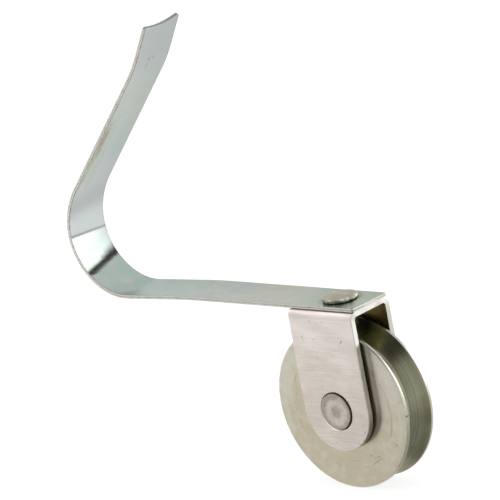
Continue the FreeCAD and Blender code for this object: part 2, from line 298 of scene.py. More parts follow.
@dataclass
class FoldedSheet:
    """A blank with rims and a thickness, folded along a path and given soft edges."""

    path: FoldPath
    outer: Rim
    holes: list[Rim]
    thickness: float
    round_steps: int = 5

    def section(self, rounding: float) -> list[tuple[float, float, float, float]]:
        """Cut through the sheet's edge.

        Args:
            rounding: Radius of the edge's two rounds.

        Returns:
            For each line round the edge, its inset, its depth, and how far its normal points out of the
            rim and out of the sheet.
        """
        steps = range(self.round_steps + 1)
        lines = [(math.pi / 2 * (1 - step / self.round_steps), -rounding) for step in steps]
        lines += [(-math.pi / 2 * step / self.round_steps, rounding - self.thickness) for step in steps]
        section = []
        for angle, depth in lines:
            aside, upwards = math.cos(angle), math.sin(angle)
            section.append((rounding * (1 - aside), depth + rounding * upwards, aside, upwards))
        return section

    def build(self, name: str) -> bpy.types.Object:
        """Make the folded sheet as an object with true normals and its flat place as an attribute.

        Args:
            name: Name of the object.

        Returns:
            The new object, in the frame of the solids.
        """
        places: list[tuple[float, float, float]] = []
        normals: list[Vector] = []
        faces: list[tuple[int, ...]] = []
        rims = [self.outer, *self.holes]
        firsts = []
        for rim in rims:
            base = len(places)
            firsts.append(base)
            count = len(rim.points)
            section = self.section(rim.rounding)
            for inset, depth, rim_share, sheet_share in section:
                for point in rim.points:
                    flat = point.at - point.out * inset
                    places.append((flat.x, flat.y, depth))
                    here = self.path.frame_at(flat.x)
                    aside = here.along * point.out.x + here.across * point.out.y
                    normals.append((aside * rim_share + here.out * sheet_share).normalized())
            for row in range(len(section) - 1):
                for spot in range(count):
                    after = (spot + 1) % count
                    upper, lower = base + row * count, base + (row + 1) * count
                    faces.append((upper + spot, lower + spot, lower + after, upper + after))
        faces += self._broad_sides(places, rims, firsts, 2 * (self.round_steps + 1))
        points = []
        for along, across, depth in places:
            here = self.path.frame_at(along)
            points.append(here.point + here.across * across + here.out * depth)
        piece = make_piece(name, points, faces, normals)
        place_of = piece.data.attributes.new(PLACE, "FLOAT_VECTOR", "POINT")
        place_of.data.foreach_set("vector", [number for place in places for number in place])
        return piece

    def _broad_sides(self, places: list[tuple[float, float, float]], rims: list[Rim], firsts: list[int],
                     lines: int) -> list[tuple[int, ...]]:
        """Fill both broad sides between the rims, creased across at the path's stations.

        Args:
            places: Flat place of each vertex.
            rims: The sheet's rims.
            firsts: Index of each rim's first vertex.
            lines: Number of lines round the edge.

        Returns:
            Triangles of the reference side and of the far side.
        """
        corners: list[int] = []
        edges: list[tuple[int, int]] = []
        for rim, first in zip(rims, firsts):
            base, count = len(corners), len(rim.points)
            corners += range(first, first + count)
            edges += [(base + spot, base + (spot + 1) % count) for spot in range(count)]
        flat = [Vector(places[corner][:2]) for corner in corners]
        loops = [[Vector(places[first + spot][:2]) for spot in range(len(rim.points))]
                 for rim, first in zip(rims, firsts)]
        to_far = [(lines - 1) * len(rim.points) for rim in rims for _ in rim.points]
        beyond = 1.0
        creases = [-beyond, *self.path.stations(), beyond + self.path.length]
        faces = []
        for low, high in zip(creases, creases[1:]):
            for spots in self._panel(flat, edges, low, high):
                middle = sum((flat[spot] for spot in spots), Vector((0, 0))) / 3
                in_hole = any(is_within(middle, loop) for loop in loops[1:])
                if is_within(middle, loops[0]) and not in_hole:
                    faces.append(tuple(corners[spot] for spot in spots))
                    faces.append(tuple(corners[spot] + to_far[spot] for spot in reversed(spots)))
        return faces

    @staticmethod
    def _panel(flat: list[Vector], edges: list[tuple[int, int]], low: float,
               high: float) -> list[list[int]]:
        """Fill one panel between two crease lines.

        Args:
            flat: Points of all the rims on the flat sheet.
            edges: Pairs of points that rim edges join.
            low: Place of the panel's first crease along the sheet.
            high: Place of its second crease.

        Returns:
            Triangles as triples of points.
        """
        merged_mm = 1.0e-5
        first, last = low - SAME_POINT, high + SAME_POINT
        spots = [spot for spot, point in enumerate(flat) if first < point.x < last]
        rank = {spot: order for order, spot in enumerate(spots)}
        held = [(rank[one], rank[other]) for one, other in edges if one in rank and other in rank]
        points = [flat[spot] / MM for spot in spots]
        _, _, triangles, sources, _, _ = delaunay_2d_cdt(points, held, [], 0, merged_mm)
        return [[spots[sources[corner][0]] for corner in triangle] for triangle in triangles]


def is_within(point: Vector, loop: Sequence[Vector]) -> bool:
    """Tell whether a point lies inside a closed loop.

    Args:
        point: The point on the flat sheet.
        loop: The loop's corners in order.

    Returns:
        True inside the loop.
    """
    inside = False
    for first, last in zip(loop, [*loop[1:], loop[0]]):
        if (first.y > point.y) != (last.y > point.y):
            crossing = first.x + (point.y - first.y) / (last.y - first.y) * (last.x - first.x)
            inside ^= point.x < crossing
    return inside


@dataclass(frozen=True)
class Corner:
    """A corner of a turned section: its radius, its place along the axis and how much it is rounded."""

    radius: float
    height: float
    rounding: float = 0.0


def mirrored(half: Sequence[Corner]) -> list[Corner]:
    """Complete a section that is the same on both sides of its middle.

    Args:
        half: Corners of the upper half, from the middle on.

    Returns:
        Corners of the whole section.
    """
    lower = [replace(corner, height=-corner.height) for corner in reversed(half)]
    return [*lower, *half]


@dataclass
class TurnedPiece:
    """A section turned about an axis, with its metal on the left of the section's line."""

    corners: list[Corner]
    axis: Vector
    origin: Vector = field(default_factory=lambda: Vector((0, 0, 0)))
    around: int = 288
    round_steps: int = 5

    def section(self) -> list[tuple[Vector, Vector]]:
        """Round the section's corners.

        Returns:
            Points of the section with the way out of the metal at each, ready to be turned.
        """
        spots = [Vector((corner.radius, corner.height)) for corner in self.corners]
        closed = self.is_closed()
        line: list[tuple[Vector, Vector]] = []
        for index, corner in enumerate(self.corners):
            here = spots[index]
            before = after = None
            if closed or index > 0:
                before = (here - spots[index - 1]).normalized()
            if closed or index < len(spots) - 1:
                after = (spots[(index + 1) % len(spots)] - here).normalized()
            if before is None or after is None:
                ahead = after if before is None else before
                line.append((here, Vector((ahead.y, -ahead.x))))
            else:
                line += self._rounded(here, before, after, corner.rounding)
        return line

    def _rounded(self, here: Vector, before: Vector, after: Vector,
                 rounding: float) -> list[tuple[Vector, Vector]]:
        """Round one corner.

        Args:
            here: The corner.
            before: Direction of the line that reaches it.
            after: Direction of the line that leaves it.
            rounding: Radius of the round.

        Returns:
            Points of the round with their normals.
        """
        turn = math.atan2(before.x * after.y - before.y * after.x, before.dot(after))
        reach = rounding * math.tan(abs(turn) / 2)
        side = math.copysign(1.0, turn)
        centre = here - before * reach + Vector((-before.y, before.x)) * (rounding * side)
        points = []
        for step in range(self.round_steps + 1):
            ahead = Matrix.Rotation(turn * step / self.round_steps, 2) @ before
            out = Vector((ahead.y, -ahead.x))
            points.append((centre + out * (rounding * side), out))
        return points

    def is_closed(self) -> bool:
        """Whether the section is a ring that stays clear of the axis."""
        return all(corner.radius > 0 for corner in self.corners)

    def build(self, name: str) -> bpy.types.Object:
        """Turn the section into an object with true normals.

        Args:
            name: Name of the object.

        Returns:
            The new object, in the frame of the solids.
        """
        second_way = X_AXIS.cross(self.axis)
        points: list[Vector] = []
        normals: list[Vector] = []
        rows: list[list[int]] = []
        for spot, out in self.section():
            turns = self.around if spot.x > 0 else 1
            rows.append([len(points) + turn for turn in range(turns)])
            for turn in range(turns):
                angle = math.tau * turn / self.around
                away = X_AXIS * math.cos(angle) + second_way * math.sin(angle)
                points.append(self.origin + away * spot.x + self.axis * spot.y)
                sideways = away * out.x if turns > 1 else Vector((0, 0, 0))
                normals.append((sideways + self.axis * out.y).normalized())
        pairs = list(zip(rows, rows[1:]))
        if self.is_closed():
            pairs.append((rows[-1], rows[0]))
        faces: list[tuple[int, ...]] = []
        for lower, upper in pairs:
            for turn in range(self.around):
                after = (turn + 1) % self.around
                ring = [lower[turn % len(lower)], upper[turn % len(upper)],
                        upper[after % len(upper)], lower[after % len(lower)]]
                faces.append(tuple(dict.fromkeys(ring)))
        return make_piece(name, points, faces, normals)


def add_object(name: str, data: bpy.types.ID) -> bpy.types.Object:
    """Make an object of a mesh, a lamp or a camera and link it to the scene.

    Args:
        name: Name of the object.
        data: What it shows.

    Returns:
        The object.
    """
    made = bpy.data.objects.new(name, data)
    bpy.context.scene.collection.objects.link(made)
    return made


def make_piece(name: str, points: Sequence[Vector], faces: Sequence[Sequence[int]],
               normals: Sequence[Vector]) -> bpy.types.Object:
    """Make a smooth mesh object with its own normals.

    Args:
        name: Name of the object and its mesh.
        points: Vertices in metres.
        faces: Corners of each face.
        normals: Normal of each vertex.

    Returns:
        The object, linked to the scene.
    """
    mesh = bpy.data.meshes.new(name)
    mesh.from_pydata([point[:] for point in points], [], faces)
    mesh.shade_smooth()
    mesh.normals_split_custom_set_from_vertices([normal[:] for normal in normals])
    return add_object(name, mesh)


# Finishes: shader graphs written as expressions


Term = Union[float, "Value"]
Socket = bpy.types.NodeSocket
Paint = Union[Colour, Socket, "Value"]


@dataclass(frozen=True)
class Grain:
    """A smooth noise: waves for each unit of its place, octaves of finer noise, height of its relief."""

    scale: float
    detail: float = 2.0
    relief: float = 0.0


class Value:
    """A number that changes over a surface: one output socket, with arithmetic that adds Math nodes."""

    def __init__(self, graph: "Graph", socket: Socket) -> None:
        """Wrap an output socket of a graph."""
        self.graph = graph
        self.socket = socket

    def maths(self, operation: str, *terms: Term) -> "Value":
        """Add a Math node that takes some terms.

        Args:
            operation: The Math node's operation.
            terms: Its inputs in order.

        Returns:
            The node's result.
        """
        node = self.graph.node("ShaderNodeMath", {"operation": operation}, dict(enumerate(terms)))
        return Value(self.graph, node.outputs[0])

    def __add__(self, other: Term) -> "Value":
        """Add a term."""
        return self.maths("ADD", self, other)

    def __radd__(self, other: Term) -> "Value":
        """Add to a term."""
        return self.maths("ADD", other, self)

    def __sub__(self, other: Term) -> "Value":
        """Take a term away."""
        return self.maths("SUBTRACT", self, other)

    def __rsub__(self, other: Term) -> "Value":
        """Take away from a term."""
        return self.maths("SUBTRACT", other, self)

    def __mul__(self, other: Term) -> "Value":
        """Multiply by a term."""
        return self.maths("MULTIPLY", self, other)

    def __rmul__(self, other: Term) -> "Value":
        """Multiply a term."""
        return self.maths("MULTIPLY", other, self)

    def __truediv__(self, other: Term) -> "Value":
        """Divide by a term."""
        return self.maths("DIVIDE", self, other)

    def __rtruediv__(self, other: Term) -> "Value":
        """Divide a term."""
        return self.maths("DIVIDE", other, self)

    def __pow__(self, other: Term) -> "Value":
        """Raise to a power."""
        return self.maths("POWER", self, other)

    def __rpow__(self, other: Term) -> "Value":
        """Raise a term to this power."""
        return self.maths("POWER", other, self)

    def __neg__(self) -> "Value":
        """Turn the sign."""
        return self.maths("MULTIPLY", self, -1.0)

    def __abs__(self) -> "Value":
        """Drop the sign."""
        return self.maths("ABSOLUTE", self)

    def least(self, other: Term) -> "Value":
        """The smaller of this and a term."""
        return self.maths("MINIMUM", self, other)

    def most(self, other: Term) -> "Value":
        """The larger of this and a term."""
        return self.maths("MAXIMUM", self, other)

    def clamped(self) -> "Value":
        """This, kept between 0 and 1."""
        return self.most(0.0).least(1.0)

    def rise(self, low: float, high: float) -> "Value":
        """Go smoothly from 0 to 1 while this goes from one level to another.

        Args:
            low: Level that gives 0.
            high: Level that gives 1, which may be the lower one.

        Returns:
            The smooth step.
        """
        levels = {"Value": self, "From Min": low, "From Max": high}
        node = self.graph.node("ShaderNodeMapRange", {"interpolation_type": "SMOOTHSTEP"}, levels)
        return Value(self.graph, node.outputs["Result"])

    def rise_under(self, size: float, inset: Span) -> "Value":
        """Go smoothly from 0 to 1 between two distances under a size.

        Args:
            size: The size that the distances are measured down from.
            inset: The distance that gives 0 and the one that gives 1.

        Returns:
            The smooth step.
        """
        return self.rise(size - inset[0], size - inset[1])


class Graph:
    """A node tree that is built from named settings and sockets."""

    def __init__(self, tree: bpy.types.NodeTree) -> None:
        """Start an empty tree."""
        self.tree = tree
        tree.nodes.clear()

    def node(self, kind: str, settings: Optional[dict] = None,
             sockets: Optional[dict] = None) -> bpy.types.Node:
        """Add a node.

        Args:
            kind: The node's type.
            settings: Its own settings, set first.
            sockets: Values or links of its inputs, by identifier, name or index.

        Returns:
            The new node.
        """
        made = self.tree.nodes.new(kind)
        for name, setting in (settings or {}).items():
            setattr(made, name, setting)
        for name, given in (sockets or {}).items():
            self._feed(self._input(made, name), given)
        return made

    @staticmethod
    def _input(node: bpy.types.Node, name: Union[str, int]) -> Socket:
        """Find a node's input by identifier, name or index."""
        by_identifier = {socket.identifier: socket for socket in node.inputs}
        return by_identifier[name] if name in by_identifier else node.inputs[name]

    def _feed(self, socket: Socket, given: object) -> None:
        """Link or set one input.

        Args:
            socket: The input.
            given: A value or socket to link, or a constant to set.
        """
        if isinstance(given, Value):
            given = given.socket
        if isinstance(given, Socket):
            self.tree.links.new(given, socket)
        else:
            socket.default_value = given

    def value(self, socket: Socket) -> Value:
        """Wrap a socket for arithmetic."""
        return Value(self, socket)

    def parts(self, vector: Socket) -> tuple[Value, Value, Value]:
        """Take a vector apart.

        Args:
            vector: The vector's socket.

        Returns:
            Its three numbers.
        """
        outputs = self.node("ShaderNodeSeparateXYZ", sockets={"Vector": vector}).outputs
        return self.value(outputs[0]), self.value(outputs[1]), self.value(outputs[2])

    def joined(self, first: Term, second: Term, third: Term) -> Socket:
        """Put three numbers together as a vector."""
        sockets = {"X": first, "Y": second, "Z": third}
        return self.node("ShaderNodeCombineXYZ", sockets=sockets).outputs[0]

    def along(self, vector: Socket, direction: Vector) -> Value:
        """Measure a vector along a direction.

        Args:
            vector: The vector's socket.
            direction: A direction of length 1.

        Returns:
            Their dot product.
        """
        sockets = {"Vector": vector, "Vector_001": direction}
        node = self.node("ShaderNodeVectorMath", {"operation": "DOT_PRODUCT"}, sockets)
        return self.value(node.outputs["Value"])

    def noise(self, vector: Socket, grain: Grain) -> Value:
        """Add smooth noise.

        Args:
            vector: Where the noise is read.
            grain: Its fineness.

        Returns:
            Noise between 0 and 1.
        """
        sockets = {"Vector": vector, "Scale": grain.scale, "Detail": grain.detail}
        return self.value(self.node("ShaderNodeTexNoise", sockets=sockets).outputs["Fac"])

    def mixed(self, share: Term, first: Paint, second: Paint) -> Socket:
        """Mix two colours.

        Args:
            share: Share of the second colour.
            first: First colour or its socket.
            second: Second colour or its socket.

        Returns:
            The mixed colour.
        """
        sockets = {"Factor_Float": share, "A_Color": first, "B_Color": second}
        node = self.node("ShaderNodeMix", {"data_type": "RGBA"}, sockets)
        return next(socket for socket in node.outputs if socket.identifier == "Result_Color")

    def attribute(self, name: str) -> Socket:
        """Read a vector that the mesh carries."""
        return self.node("ShaderNodeAttribute", {"attribute_name": name}).outputs["Vector"]

    def own_place(self) -> Socket:
        """Read the place on the object, in metres."""
        return self.node("ShaderNodeTexCoord").outputs["Object"]

    def surface(self, shader: bpy.types.Node) -> None:
        """End a material's tree in a shader."""
        self.node("ShaderNodeOutputMaterial", sockets={"Surface": shader.outputs[0]})

    def finish_metal(self, colour: Paint, roughness: Term, height: Value) -> None:
        """End the tree in a metal surface.

        Args:
            colour: Colour of its reflections.
            roughness: How far they are blurred.
            height: Height of its relief in metres.
        """
        relief = {"Height": height, "Strength": 1.0, "Distance": 1.0}
        sockets = {
            "Base Color": colour,
            "Roughness": roughness,
            "Normal": self.node("ShaderNodeBump", sockets=relief).outputs["Normal"],
            "Metallic": 1.0,
        }
        self.surface(self.node("ShaderNodeBsdfPrincipled", sockets=sockets))


def grey(level: float) -> Colour:
    """A neutral colour of one level."""
    return (level, level, level, 1.0)


def distance(first: Value, second: Value) -> Value:
    """Distance of a place from where its two coordinates are 0."""
    return (first * first + second * second) ** 0.5


def within(value: Value, spans: Sequence[Span]) -> Value:
    """Find where a value lies in a stretch with soft ends.

    Args:
        value: The value.
        spans: For each end, the level that gives 0 and the level that gives 1.

    Returns:
        1 in the stretch and 0 outside it.
    """
    start, end = spans
    return value.rise(*start) * value.rise(*end)


@dataclass(frozen=True)
class Mark:
    """A small mark on a flat surface: its middle, length, width, angle in degrees and depth of tone."""

    first: float
    second: float
    length: float
    width: float
    angle: float
    tone: float = 1.0
    fade: Span = (0.3, 0.1)

    def mask(self, first: Value, second: Value) -> Value:
        """Draw the mark.

        Args:
            first: First coordinate on the surface.
            second: Second coordinate on the surface.

        Returns:
            The mark's tone at each place.
        """
        turned = math.radians(self.angle)
        right, up = first - self.first, second - self.second
        along = (right * math.cos(turned) + up * math.sin(turned)) / self.length
        across = (up * math.cos(turned) - right * math.sin(turned)) / self.width
        return (along * along + across * across).rise(*self.fade) * self.tone


def draw_marks(marks: Sequence[Mark], first: Value, second: Value) -> Value:
    """Draw several marks together.

    Args:
        marks: The marks.
        first: First coordinate on the surface.
        second: Second coordinate on the surface.

    Returns:
        The strongest tone at each place.
    """
    strongest = marks[0].mask(first, second)
    for mark in marks[1:]:
        strongest = strongest.most(mark.mask(first, second))
    return strongest


def new_graph(name: str) -> tuple[bpy.types.Material, Graph]:
    """Make a material with an empty graph.

    Args:
        name: Name of the material.

    Returns:
        The material and its graph.
    """
    material = bpy.data.materials.new(name)
    material.use_nodes = True
    return material, Graph(material.node_tree)


class SheetGround:
    """Where a point of a folded sheet lies: along, across and under its reference side, or on its edge."""

    def __init__(self, graph: Graph, thickness: float, edge_depth: Span) -> None:
        """Read the place that the mesh carries.

        Args:
            graph: The finish's graph.
            thickness: Thickness of the sheet.
            edge_depth: Depths under the nearest broad side where the edge starts and where it is full.
        """
        self.graph = graph
        self.place = graph.attribute(PLACE)
        self.along, self.across, self.depth = graph.parts(self.place)
        self.edge = (-self.depth).least(self.depth + thickness).rise(*edge_depth)

    def noise(self, grain: Grain, along: Term, across: Term, depth: Optional[Term] = None) -> Value:
        """Add noise that is stretched or slanted on the flat sheet.

        Args:
            grain: The noise's fineness.
            along: First coordinate.
            across: Second coordinate.
            depth: Third coordinate, or none for the depth under the reference side.

        Returns:
            Noise between 0 and 1.
        """
        third = self.depth if depth is None else depth
        return self.graph.noise(self.graph.joined(along, across, third), grain)


@dataclass(frozen=True)
class StripBlank:
    """The flat strip that a finish is laid on: its length, half width, thickness and its hole's place."""

    length: float
    half: float
    thickness: float
    hole: float


@dataclass(frozen=True)
class StripZone:
    """A part of the strip round a place along it, with the distances that give no share and full share."""

    middle: float
    bare: float
    full: float

    def share(self, along: Value) -> Value:
        """How far a place lies in the zone."""
        return abs(along - self.middle).rise(self.bare, self.full)


@dataclass(frozen=True)
class ZincStripFinish:
    """Thin clear-passivated zinc on rolled spring strip, with faint rainbow tints and bare sheared edges.

    Zones and spans along the strip are measured from its end at the fork. Each span leads from no share to
    full share.
    """

    teal: Colour = (0.382, 0.455, 0.424, 1.0)
    lilac: Colour = (0.446, 0.472, 0.470, 1.0)
    green: Colour = (0.345, 0.455, 0.395, 1.0)
    warm: Colour = (0.495, 0.485, 0.400, 1.0)
    olive: Colour = (0.360, 0.430, 0.325, 1.0)
    sheared: Colour = (0.57, 0.56, 0.515, 1.0)
    torn: Colour = (0.40, 0.35, 0.27, 1.0)
    cut_end: Colour = (0.31, 0.31, 0.295, 1.0)
    stain: Colour = (0.24, 0.175, 0.09, 1.0)
    shade: Colour = (0.13, 0.18, 0.165, 1.0)
    grime: Grain = Grain(900.0, 3.0, 0.003 * MM)
    ragged: Grain = Grain(1500.0, 3.0)
    tears: Grain = Grain(420.0, 4.0)
    streaks: Grain = Grain(1900.0, 3.0, 0.006 * MM)
    clouds: Grain = Grain(90.0, 5.0)
    bands: Grain = Grain(60.0, 5.0)
    ripples: Grain = Grain(260.0, 4.0)
    mottle: Grain = Grain(480.0, 4.0)
    roughness: float = 0.075
    streak_roughness: float = 0.05
    edge_roughness: float = 0.26
    satin_roughness: float = 0.14
    crossbow: float = 18.0
    edge_depth: Span = mm(0.005, 0.05)
    side_inset: Span = mm(0.55, 0.15)
    tip_inset: Span = mm(1.5, 1.1)
    corner_inset: Span = mm(0.05, 0.35)
    rivet_shade: Span = mm(5.8, 4.2)
    middle_depth: Span = mm(-0.1, 0.1)
    bend: StripZone = StripZone(*mm(100.0, 16.0, 9.0))
    legs: StripZone = StripZone(*mm(90.0, 14.0, 26.0))
    off_bend: StripZone = StripZone(*mm(88.0, 10.0, 24.0))
    at_rivet: Span = mm(22.0, 13.0)
    past_rivet: tuple[Span, Span] = (mm(42.0, 32.0), mm(13.0, 21.0))
    lower_leg: Span = mm(64.0, 46.0)
    before_bend: tuple[Span, Span] = (mm(40.0, 56.0), mm(92.0, 78.0))
    satin: Span = mm(80.0, 72.0)
    short_of_tip: Span = mm(146.0, 134.0)
    near_tip: Span = mm(136.0, 146.0)

    def material(self, blank: StripBlank, marks: Sequence[Mark],
                 tarnish: Sequence[Mark]) -> bpy.types.Material:
        """Build the finish.

        Args:
            blank: The strip's flat sizes.
            marks: Stains along and across the strip.
            tarnish: Yellowish clouds round the stains.

        Returns:
            The material.
        """
        material, graph = new_graph("zinc_spring_strip")
        ground = SheetGround(graph, blank.thickness, self.edge_depth)
        along, across, edge = ground.along, ground.across, ground.edge
        grime = graph.noise(ground.place, self.grime)
        yellowed = draw_marks(tarnish, along, across) * grime.rise(0.20, 0.60)
        colour = graph.mixed(yellowed, self._tints(ground), self.olive)
        colour = graph.mixed(self._stains(ground, blank, marks, grime), colour, self.stain)
        # Painted shade: a dark teal ring round the rivet head stands in for its shadow and its dark
        # reflection on the strip.
        from_hole = distance(along - blank.hole, across)
        colour = graph.mixed(from_hole.rise(*self.rivet_shade) * 0.65, colour, self.shade)
        colour = graph.mixed(edge, colour, self._cut(ground, blank))
        streaks = ground.noise(self.streaks, along * 0.03, across)
        roughness = self.roughness + streaks * self.streak_roughness + edge * self.edge_roughness
        roughness = roughness + along.rise(*self.satin) * self.satin_roughness * (1.0 - edge)
        side = (ground.depth + blank.thickness * 0.5).rise(*self.middle_depth) * 2.0 - 1.0
        bow = across * across * side * (self.crossbow / 2)
        height = bow + streaks * self.streaks.relief + grime * edge * self.grime.relief
        graph.finish_metal(colour, roughness, height)
        return material

    def _stains(self, ground: SheetGround, blank: StripBlank, marks: Sequence[Mark],
                grime: Value) -> Value:
        """Lay the stains and the grime along the strip's sides.

        Args:
            ground: Where a point of the strip lies.
            blank: The strip's flat sizes.
            marks: Stains along and across the strip.
            grime: Noise that breaks them up.

        Returns:
            The share of the stain's colour.
        """
        along, across = ground.along, ground.across
        rim_line = abs(across).rise_under(blank.half, self.side_inset) * grime.rise(0.38, 0.62)
        ragged = ground.noise(self.ragged, along * 0.6, across).rise(0.30, 0.62)
        broken = grime.rise(0.24, 0.52) * 0.4 + ragged * 0.4 + 0.2
        return (draw_marks(marks, along, across) * broken).most(rim_line * 0.55)

    def _cut(self, ground: SheetGround, blank: StripBlank) -> Socket:
        """Colour the cut edges: sheared and partly torn along the sides, darker at the tip.

        Args:
            ground: Where a point of the strip lies.
            blank: The strip's flat sizes.

        Returns:
            The colour of the edges.
        """
        along, across = ground.along, ground.across
        tears = ground.noise(self.tears, along, 0.0, ground.depth * 0.4).rise(0.48, 0.70)
        torn = tears * (self.off_bend.share(along) * 0.5 + 0.5) * 0.45
        cut = ground.graph.mixed(torn, self.sheared, self.torn)
        at_tip = along.rise_under(blank.length, self.tip_inset)
        at_tip = at_tip * abs(across).rise_under(blank.half, self.corner_inset)
        return ground.graph.mixed(at_tip, cut, self.cut_end)

    def _tints(self, ground: SheetGround) -> Socket:
        """Lay the faint rainbow tints of the passivation.

        Args:
            ground: Where a point of the strip lies.

        Returns:
            The tinted colour.
        """
        graph, along, across = ground.graph, ground.along, ground.across
        clouds = ground.noise(self.clouds, along * 0.5 - across * 0.3, across, 0.31)
        bands = ground.noise(self.bands, along, across * 0.4 + along * 0.2, 4.0)
        ripples = ground.noise(self.ripples, along * 0.8 + across * 0.5, across * 0.6, 9.0)
        mottle = ground.noise(self.mottle, along * 0.6, across, 2.0).rise(0.40, 0.66)
        on_legs = self.legs.share(along)
        cold_zones = along.rise(*self.near_tip).most(self.bend.share(along))
        cold = clouds.rise(0.40, 0.60).most(cold_zones * 0.8)
        colour = graph.mixed(cold, self.teal, self.lilac)
        colour = graph.mixed(bands.rise(0.46, 0.64) * on_legs * 0.3, colour, self.warm)
        greened = within(along, self.before_bend) * ripples.rise(0.72, 0.40)
        colour = graph.mixed(greened * 0.85, colour, self.green)
        rippled = along.rise(*self.lower_leg) * ripples.rise(0.40, 0.60)
        warmed = (rippled * 0.75).most(within(along, self.past_rivet) * 0.8)
        colour = graph.mixed(warmed, colour, self.warm)
        colour = graph.mixed(along.rise(*self.at_rivet) * 0.8, colour, self.olive)
        return graph.mixed(mottle * on_legs * along.rise(*self.short_of_tip) * 0.35, colour, self.green)


@dataclass(frozen=True)
class RingPlace:
    """A hole on a flat sheet, with a painted highlight in a crescent outside its rim on one side."""

    along: float
    across: float
    radius: float
    lean: float = 35.0
    width: float = 0.42 * MM
    softness: float = 0.06 * MM
    widening: Span = (0.72, 0.97)
    shown: Span = (0.70, 0.85)

    def crescent(self, along: Value, across: Value) -> Value:
        """Draw the painted highlight: a bright crescent outside the hole.

        Args:
            along: Place along the sheet.
            across: Place across the sheet.

        Returns:
            1 in the crescent.
        """
        ahead, aside = along - self.along, across - self.across
        away = distance(ahead, aside)
        lean = math.radians(self.lean)
        towards = (ahead * math.cos(lean) - aside * math.sin(lean)) / away
        outer = self.radius + towards.rise(*self.widening) * self.width
        inside = (away - outer).rise(self.softness, -self.softness)
        outside = away.rise(self.radius, self.radius + self.softness)
        return inside * outside * towards.rise(*self.shown)


@dataclass(frozen=True)
class FoldedSheetFinish:
    """Satin zinc on folded strip, with fine lines across the cheeks and bright sheared edges.

    Shares of the sheet's length tell its far cheek, where the sheet starts, from its near one.
    """

    pale: Colour = (0.760, 0.695, 0.650, 1.0)
    dull: Colour = (0.545, 0.485, 0.430, 1.0)
    inside: Colour = (0.312, 0.240, 0.122, 1.0)
    clean_inside: Colour = (0.780, 0.760, 0.440, 1.0)
    sheared: Colour = (0.66, 0.645, 0.60, 1.0)
    oxidised: Colour = (0.40, 0.375, 0.32, 1.0)
    # Painted shade: colour of the edges on the left side, as if turned away from the light.
    shaded_edge: Colour = (0.26, 0.23, 0.18, 1.0)
    # Painted highlight: colour of the bright crescent outside the near axle hole.
    crescent_highlight: Colour = (0.97, 0.95, 0.91, 1.0)
    scratch: Colour = (0.15, 0.11, 0.06, 1.0)
    lines: Grain = Grain(2600.0, 4.0, 0.005 * MM)
    clouds: Grain = Grain(230.0, 4.0, 0.012 * MM)
    specks: Grain = Grain(1300.0)
    roughness: float = 0.28
    line_roughness: float = 0.12
    edge_polish: float = 0.12
    scratch_depth: float = 0.02 * MM
    edge_depth: Span = mm(0.02, 0.12)
    inner_inset: Span = mm(-0.12, -0.02)
    outer_depth: Span = mm(-0.2, -0.05)
    duller_down: Span = mm(2.0, 34.0)
    left_side: Span = mm(1.0, -3.0)
    near_half: Span = (0.44, 0.48)
    far_cheek: Span = (0.43, 0.38)

    def material(self, thickness: float, length: float, near: RingPlace,
                 marks: Sequence[Mark]) -> bpy.types.Material:
        """Build the finish.

        Args:
            thickness: Thickness of the sheet.
            length: Length of the flat sheet.
            near: The near cheek's axle hole.
            marks: Scratches along and across the sheet.

        Returns:
            The material.
        """
        material, graph = new_graph("zinc_folded_sheet")
        ground = SheetGround(graph, thickness, self.edge_depth)
        along, across, depth, edge = ground.along, ground.across, ground.depth, ground.edge
        lines = ground.noise(self.lines, along, across * 0.05)
        clouds = ground.noise(self.clouds, along, across * 0.5)
        # Darker towards the bottom of the cheeks, away from the fold, with the fine lines and clouds laid
        # over it.
        down = abs(along - length / 2).rise(*self.duller_down)
        wear = down * 0.68 + (lines - 0.45) * 1.1 + (clouds - 0.45) * 1.5
        colour = graph.mixed(wear.clamped(), self.pale, self.dull)
        specks = ground.noise(self.specks, along, across * 0.6).rise(0.68, 0.76)
        colour = graph.mixed(specks * 0.45, colour, self.scratch)
        outside = depth.rise(*self.outer_depth)
        scratches = draw_marks(marks, along, across) * outside
        colour = graph.mixed(scratches, colour, self.scratch)
        # Painted highlight: a bright crescent on the near cheek's outer side, just outside the axle hole,
        # where light glances off the pin end.
        colour = graph.mixed(near.crescent(along, across) * outside, colour, self.crescent_highlight)
        near_half = along.rise(*(length * share for share in self.near_half))
        inner = graph.mixed(near_half, self.inside, self.clean_inside)
        colour = graph.mixed(depth.rise_under(-thickness, self.inner_inset), colour, inner)
        colour = graph.mixed(edge, colour, self._cut(ground, length, clouds))
        roughness = self.roughness + lines * self.line_roughness - edge * self.edge_polish
        height = lines * self.lines.relief + clouds * self.clouds.relief - scratches * self.scratch_depth
        graph.finish_metal(colour, roughness, height)
        return material

    def _cut(self, ground: SheetGround, length: float, clouds: Value) -> Socket:
        """Colour the sheared edges: bright on the right, duller on the far cheek, darkened on the left by
        painted shade.

        Args:
            ground: Where a point of the sheet lies.
            length: Length of the flat sheet.
            clouds: Noise that clouds the edges.

        Returns:
            The colour of the edges.
        """
        far_cheek = ground.along.rise(*(length * share for share in self.far_cheek))
        oxide = (clouds.rise(0.48, 0.66) * 0.5).most(far_cheek * 0.8)
        cut = ground.graph.mixed(oxide, self.sheared, self.oxidised)
        # Painted shade: the edges on the left side are darkened as if turned away from the light.
        return ground.graph.mixed(ground.across.rise(*self.left_side), cut, self.shaded_edge)


@dataclass(frozen=True)
class WheelSizes:
    """The sizes that the wheel's finish follows: its radius, its groove's depth and half its width."""

    rim: float
    depth: float
    face: float


